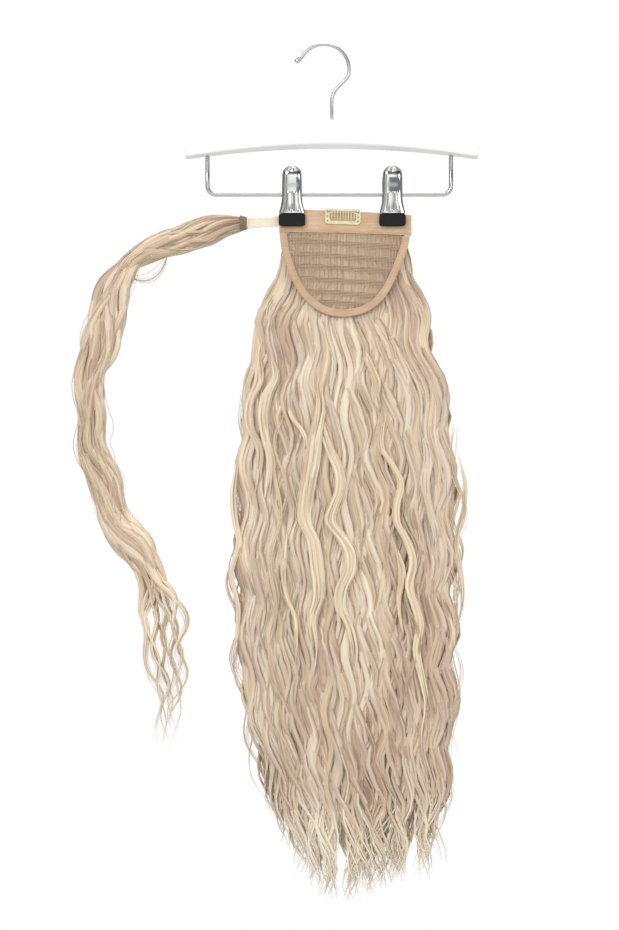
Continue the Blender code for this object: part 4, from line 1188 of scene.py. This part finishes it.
class BuildHair(bpy.types.Operator):
    """Makes the hanging hair: a core, layered locks, pale locks, and strands over them"""

    bl_idname = "hairpiece.hair"
    bl_label = "Hanging hair"

    def execute(self, context):
        settings = context.scene.hairpiece_hair
        hair_material("blonde_human_hair", BLONDE)
        front_plan = ((settings.front_locks, 1, -1), (80, 0.82, -1), (40, 0.5, -1))
        back_plan = ((settings.back_locks, 1, 1), (40, 0.75, 1))
        front = self.layer("front_locks", settings, 7, front_plan)
        back = self.layer("back_locks", settings, 19, back_plan)
        pale = self.pale_locks(11)
        hair_piece("hair_core", self.core(), ["hair_fall"])
        for name, made in (("front_locks", front), ("back_locks", back), ("pale_locks", pale)):
            hair_piece(name, made[0])
        plan = (("front_strands_1", front, 0.34), ("front_strands_2", front, 0.34),
                ("pale_strands", pale, 0.10), ("back_strands", back, 0.22))
        for seed, (name, made, share) in enumerate(plan, 101):
            count = int(settings.strands * share)
            hair_piece(name, strands_over(name, made[1], count, np.random.default_rng(seed)))
        hair_piece("side_wisps", self.wisps(np.random.default_rng(55)))
        return {"FINISHED"}

    def core(self):
        """The mass of hair inside the locks: the rounded-box outline of each level, drawn in by up
        to 6 mm, with shallow flutes down it, which runs out at CORE_LOW.
        """
        sides = 96
        share = even(80)[:, None]
        z = FALL_TOP - 1 + (CORE_LOW - FALL_TOP) * share
        middle_x, middle_y, half_x, half_y = fall_at(z)
        inset = 2.2 + 3.4 * ease((NECK_Z - z) / 60)
        close = np.sqrt(1 - ease((share - 0.8) / 0.2)) * 0.97 + 0.03
        flute = 1 + 0.02 * np.sin(9 * TAU * np.arange(sides) / sides + z / 40)
        across, through = rounded(sides, 2 / FALL_SHAPE, 2 / FALL_SHAPE, 0)
        x = middle_x + np.maximum(half_x - inset, 1) * (0.75 + 0.25 * close) * flute * across
        y = middle_y + np.maximum(half_y - inset, 0.6) * close * flute * through
        # Painted shade: the core's tone is lowered a little, standing in for the shade inside the hair.
        tone = np.clip(fall_tone(middle_x, z) - 0.03, 0, 1).T
        return skin("hair_core", xyz(x, y, z)[None] * MM, {"tone": tone, "warmth": 0.3})

    def layer(self, name, settings, seed, plan):
        """Locks in layers, each a count, a share of the hair's half sizes, and a face. Each lock lies
        up to 2.8 mm below the one beside it all the way down, so that they overlap like ribbons.
        """
        rng = np.random.default_rng(seed)
        places = [shell_places(count, rng, share, face) for count, share, face in plan]
        a, b = (np.concatenate(rows) for rows in zip(*places))
        count, steps = len(a), 52
        b = b * rng.uniform(0.98, 1.03, count)
        depth = np.concatenate([np.full(count, 1 - share) for count, share, _ in plan])[:, None]
        wave = group_waves(a, rng, 0.22, 6, settings.wave_height, settings.wave_length)
        tip = fall_tips(a, rng)
        top = FALL_TOP - rng.uniform(0, 3, count)
        paths, turn = fall_paths(a * 0.965, b, top, tip, wave, steps)
        paths[..., 1] -= np.sign(b)[:, None] * rng.uniform(0, LOCK_STACK, (count, 1)) * MM
        wide = rng.uniform(2, 5, (count, 1)) * lock_taper(steps, 0.12, 0.22)
        deep = rng.uniform(0.6, 1.1, (count, 1)) * lock_taper(steps, 0.25, 0.25)
        x, z = paths[..., 0] / MM, paths[..., 2] / MM
        kind = rng.choice([-0.10, -0.03, 0.02, 0.10], (count, 1), p=[0.26, 0.3, 0.28, 0.16])
        # Painted shade: locks of the inner layers get a slightly lower tone, standing in for the shade
        # inside the hair.
        tone = fall_tone(x, z) + kind * (0.35 + 0.65 * ease((NECK_Z + 10 - z) / 40)) - 0.03 * depth
        warmth = rng.uniform(0, 0.35, (count, 1))
        return build_locks(name, paths, turn, wide, deep, outward(a, b, steps), tone, warmth, rng, 5)

    def pale_locks(self, seed):
        """The pale locks of the table, each as thinner locks side by side on the front that follow
        its line, and that cross over now and then.
        """
        rng = np.random.default_rng(seed)
        steps, dense_steps, locks = 56, 1600, list(PALE_LOCKS.values())
        each = [max(3, int(lock[0] * 1.7)) for lock in locks]
        half, tone, warmth = (np.repeat([lock[k] for lock in locks], each)[:, None] for k in (0, 1, 2))
        dense = np.repeat([resample(lock[3], dense_steps) for lock in locks], each, axis=0)
        place = np.concatenate([np.linspace(-0.8, 0.8, count) for count in each])[:, None]
        count, share = len(place), even(steps)
        begin, end = rng.uniform(0, 0.16, (count, 1)), rng.uniform(0.84, 1, (count, 1))
        index = ((begin + (end - begin) * share) * (dense_steps - 1)).astype(int)
        lines = np.take_along_axis(dense, index[..., None], axis=1)
        run = unit(np.gradient(lines, axis=1))
        winding = share * rng.uniform(5, 10, (count, 1)) + rng.uniform(0, TAU, (count, 1))
        aside = half * (place + 0.22 * np.sin(winding)) * (0.35 + 0.65 * np.sin(math.pi * share) ** 0.5)
        x, z = lines[..., 0] - run[..., 1] * aside, lines[..., 1]
        middle_x, middle_y, half_x, half_y = fall_at(z)
        a = np.clip((x - middle_x) / half_x, -0.98, 0.98)
        shell = (1 - np.abs(a) ** FALL_SHAPE) ** (1 / FALL_SHAPE)
        sunk = 6 * (1 - ease(share / 0.14)) + 6 * ease((share - 0.84) / 0.16)
        turn = rng.uniform(0, TAU, (count, 1)) + share * rng.uniform(6, 14, (count, 1))
        y = middle_y - shell * half_y - 2.4 + np.cos(turn) + sunk
        taper = lock_taper(steps, 0.16, 0.3) * (0.1 + 0.9 * ease(share / 0.24))
        wide = (1.1 + 0.32 * half * rng.uniform(0.7, 1.2, (count, 1))) * taper
        deep = (0.6 + 0.10 * half) * taper
        tone = tone + rng.normal(0, 0.05, (count, 1))
        return build_locks("pale_locks", xyz(x, y, z) * MM, turn, wide, deep, FRONT, tone, warmth, rng)

    def wisps(self, rng):
        """Loose wisps at both sides and across the front: bundles of strands that keep the hair's
        outline but swing wider, with a wave of their own.
        """
        bundles, each, steps = 14, 6, 52
        count = bundles * each
        side = np.where(rng.random(bundles) < 0.72, np.sign(rng.uniform(-1, 1, bundles)), 0)
        a = np.where(side != 0, side * rng.uniform(0.95, 1.04, bundles), rng.uniform(-0.9, 0.9, bundles))
        b = np.where(side != 0, rng.uniform(-0.5, 0.5, bundles), -1.08)
        ranges = {"height": (4, 7.5), "length": (70, 110), "phase": (0, TAU), "drift": (0, TAU)}
        wave = {key: rng.uniform(*limits, bundles) for key, limits in ranges.items()}
        top = rng.uniform(-480, -260, bundles)
        tip = np.maximum(top - rng.uniform(160, 380, bundles), fall_tips(np.clip(a, -1, 1), rng))
        wave = {key: np.repeat(value, each) + rng.normal(0, 0.1, count) for key, value in wave.items()}
        a, b = (np.repeat(v, each) + rng.normal(0, 0.008, count) for v in (a, b))
        top, tip = (np.repeat(v, each) + rng.uniform(-12, 12, count) for v in (top, tip))
        paths, _ = fall_paths(a, b, top, tip, wave, steps)
        sink = 7 * MM * (1 - ease(even(steps) / 0.2))
        outer = (np.abs(a) > 0.85)[:, None]
        paths[..., 0] -= np.sign(a)[:, None] * sink * outer
        paths[..., 1] += sink * ~outer
        radius = rng.uniform(0.32, 0.6, (count, 1)) * MM * lock_taper(steps, 0.1, 0.6)
        tone = fall_tone(paths[..., 0] / MM, paths[..., 2] / MM) + rng.normal(0.12, 0.08, (count, 1))
        values = {"tone": np.clip(tone, 0, 1), "warmth": rng.uniform(0.1, 0.6, (count, 1))}
        return rods("side_wisps", paths, radius, radius, FRONT, 3, values, rng.uniform(0, 2, count))


class BuildWrap(bpy.types.Operator):
    """Makes the wrap strand: its gathered root, winding locks and loose ends"""

    bl_idname = "hairpiece.wrap"
    bl_label = "Wrap strand"

    def execute(self, context):
        settings = context.scene.hairpiece_hair
        rng = np.random.default_rng(23)
        hair_piece("wrap_core", self.core(), ["wrap_lock", "wrap_root"])
        mesh, locks = self.locks(rng)
        hair_piece("wrap_locks", mesh)
        strands = strands_over("wrap_strands", locks, settings.wrap_strands, rng, 0.1, 1.1)
        hair_piece("wrap_strands", strands)
        hair_piece("wrap_loop", self.loop(rng))
        self.winding()
        return {"FINISHED"}

    def core(self):
        """The mass of hair inside the wrap strand: a flat oval at two thirds of its width, which
        ends where the strand opens into wisps.
        """
        steps = 120
        last = int(steps * 0.70)
        middle, across, half = (row[:last, None] for row in wrap_frames(steps))
        share = even(last)
        close = np.sqrt(np.clip(1 - ease((share - 0.86) / 0.14), 0.0004, 1))[:, None]
        out, through = rounded(24, 1, 1, 0)
        rings = middle + (half * 0.66 * close * out)[..., None] * across
        rings[..., 1] += half * 0.34 * close * through
        tone = 0.46 - 0.3 * np.exp(-share / 0.03)
        return skin("wrap_core", rings[None], {"tone": tone, "warmth": 0.3})

    def locks(self, rng):
        """Smooth locks that wind slowly round the strand, at a share of its width, with a wave of
        their own. Past two thirds of its length they part into wisps: each keeps its own slot across
        the strand, grows thinner and ends at its own height.
        """
        count, steps = 44, 96
        middle, across, half = wrap_frames(steps)
        order = np.arange(count)[:, None]
        share = even(steps) * rng.uniform(0.88, 1, (count, 1))
        low = np.clip((share * (steps - 1)).astype(int), 0, steps - 2)
        part = share * (steps - 1) - low

        def read(rows):
            weight = part.reshape(part.shape + (1,) * (rows.ndim - 1))
            return rows[low] * (1 - weight) + rows[low + 1] * weight

        line, side, width = read(middle), unit(read(across)), read(half)
        turns = rng.uniform(1.3, 2.2, (count, 1)) * np.where(order % 5 < 4, 1, -1)
        turn = TAU * order * 0.382 + TAU * turns * share
        own = rng.uniform(0, TAU, (count, 1)) + TAU * share * rng.uniform(6, 8.5, (count, 1))
        bold = ease(share / 0.12)
        layer = np.where(order % 4 == 0, 0.6, 0.92)
        wound = layer * width * np.cos(turn) * 0.82 + 1.6 * MM * np.sin(own) * bold
        open_out = ease((share - 0.69) / 0.10)
        wisp = (order * 5) % 8
        slot = (wisp - 3.5) / 3.5 + rng.normal(0, 0.05, (count, 1))
        swing = TAU * share * (9 + 0.35 * wisp) + wisp * 1.9
        parted = slot * width * 0.88 + (2.6 + 1.6 * open_out) * MM * np.sin(swing)
        stray = 16 * MM * ease((share - 0.86) / 0.14) * (wisp == 7)
        reach = wound * (1 - open_out) + (parted - stray) * open_out
        depth = layer * width * np.sin(turn) * 0.42 * (1 - 0.45 * open_out)
        depth = depth + 0.9 * MM * np.cos(own) * bold
        paths = line + reach[..., None] * side
        paths[..., 1] += depth
        run = unit(np.gradient(paths, axis=1))
        lean = 0.6 * np.cos(turn)
        facing = xyz(lean * side[..., 0], np.sin(turn) - 0.35, lean * side[..., 2])
        facing = unit(facing - (facing * run).sum(-1, keepdims=True) * run)
        taper = lock_taper(steps, 0.05, 0.22) * (0.35 + 0.65 * ease(share / 0.09))
        taper = taper * (1 - 0.52 * open_out)
        wide = rng.uniform(2.6, 4.6, (count, 1)) * taper
        deep = rng.uniform(1.2, 1.9, (count, 1)) * taper
        tone = 0.46 - 0.20 * np.exp(-share / 0.025) - 0.22 * np.exp(-share / 0.16) + 0.20 * open_out
        # Painted highlight: locks are paler where they wind to one edge of the strand, up to where it parts
        # into wisps.
        tone = tone + 0.2 * np.clip(reach / width, 0, 1) ** 1.5 * (1 - open_out)
        tone = tone + rng.choice([-0.10, -0.03, 0.03, 0.14], (count, 1))
        warmth = rng.uniform(0, 0.35, (count, 1))
        return build_locks("wrap_locks", paths, own, wide, deep, facing, tone, warmth, rng, 6)

    def loop(self, rng):
        """A few strands that have slipped out and hang in a loop under the strand's first bend."""
        line = resample(LOOP_LINE, 40)
        sag = np.sin(math.pi * even(40)) * rng.uniform(-2, 7, (7, 1))
        y = rng.uniform(-2, 2, (7, 1))
        paths = xyz(line[:, 0] + 0.5 * sag, y, line[:, 1] - sag) * MM
        radius = rng.uniform(0.25, 0.5, (7, 1)) * MM
        values = {"tone": 0.5, "warmth": 0.1}
        return rods("wrap_loop", paths, radius, radius, FRONT, 4, values, rng.uniform(0, 1, 7))

    def winding(self):
        """Thread wound round the root: an oval coil of eight turns over 7 mm."""
        share = even(400)
        turn = share * WINDING_TURNS * TAU
        swell = 6.2 + 1.6 * share
        x, z = WINDING_START
        points = xyz(x - 7 * share, swell * 0.52 * np.cos(turn), z + swell * np.sin(turn))
        mesh = wire_mesh("root_winding", points, 0.42, 6, (1, 0, 0))
        thread = yarn_material("taupe_binding_thread", "#76604F", "#97806D")
        piece("root_winding", mesh, thread, ())


class HairpiecePanel(bpy.types.Panel):
    """Lists the pieces and their settings"""

    bl_idname = "VIEW3D_PT_hairpiece"
    bl_label = "Hairpiece"
    bl_space_type = "VIEW_3D"
    bl_region_type = "UI"
    bl_category = "Hairpiece"

    def draw(self, context):
        layout = self.layout
        for group in (context.scene.hairpiece_hair, context.scene.hairpiece_studio):
            box = layout.box()
            for key in group.bl_rna.properties.keys():
                if key not in ("rna_type", "name"):
                    box.prop(group, key)
        for operator in OPERATORS:
            layout.operator(operator.bl_idname)


OPERATORS = (BuildStudio, BuildHanger, BuildClips, BuildBase, BuildSnapClip, BuildHair, BuildWrap)
CLASSES = (HairSettings, StudioSettings, *OPERATORS, HairpiecePanel)


def register():
    for cls in CLASSES:
        bpy.utils.register_class(cls)
    bpy.types.Scene.hairpiece_hair = PointerProperty(type=HairSettings)
    bpy.types.Scene.hairpiece_studio = PointerProperty(type=StudioSettings)


def unregister():
    del bpy.types.Scene.hairpiece_studio
    del bpy.types.Scene.hairpiece_hair
    for cls in reversed(CLASSES):
        bpy.utils.unregister_class(cls)


def main():
    register()
    bpy.ops.hairpiece.studio()
    bpy.ops.hairpiece.hanger()
    bpy.ops.hairpiece.clips()
    bpy.ops.hairpiece.base()
    bpy.ops.hairpiece.snap_clip()
    bpy.ops.hairpiece.hair()
    bpy.ops.hairpiece.wrap()


if __name__ == "__main__":
    main()
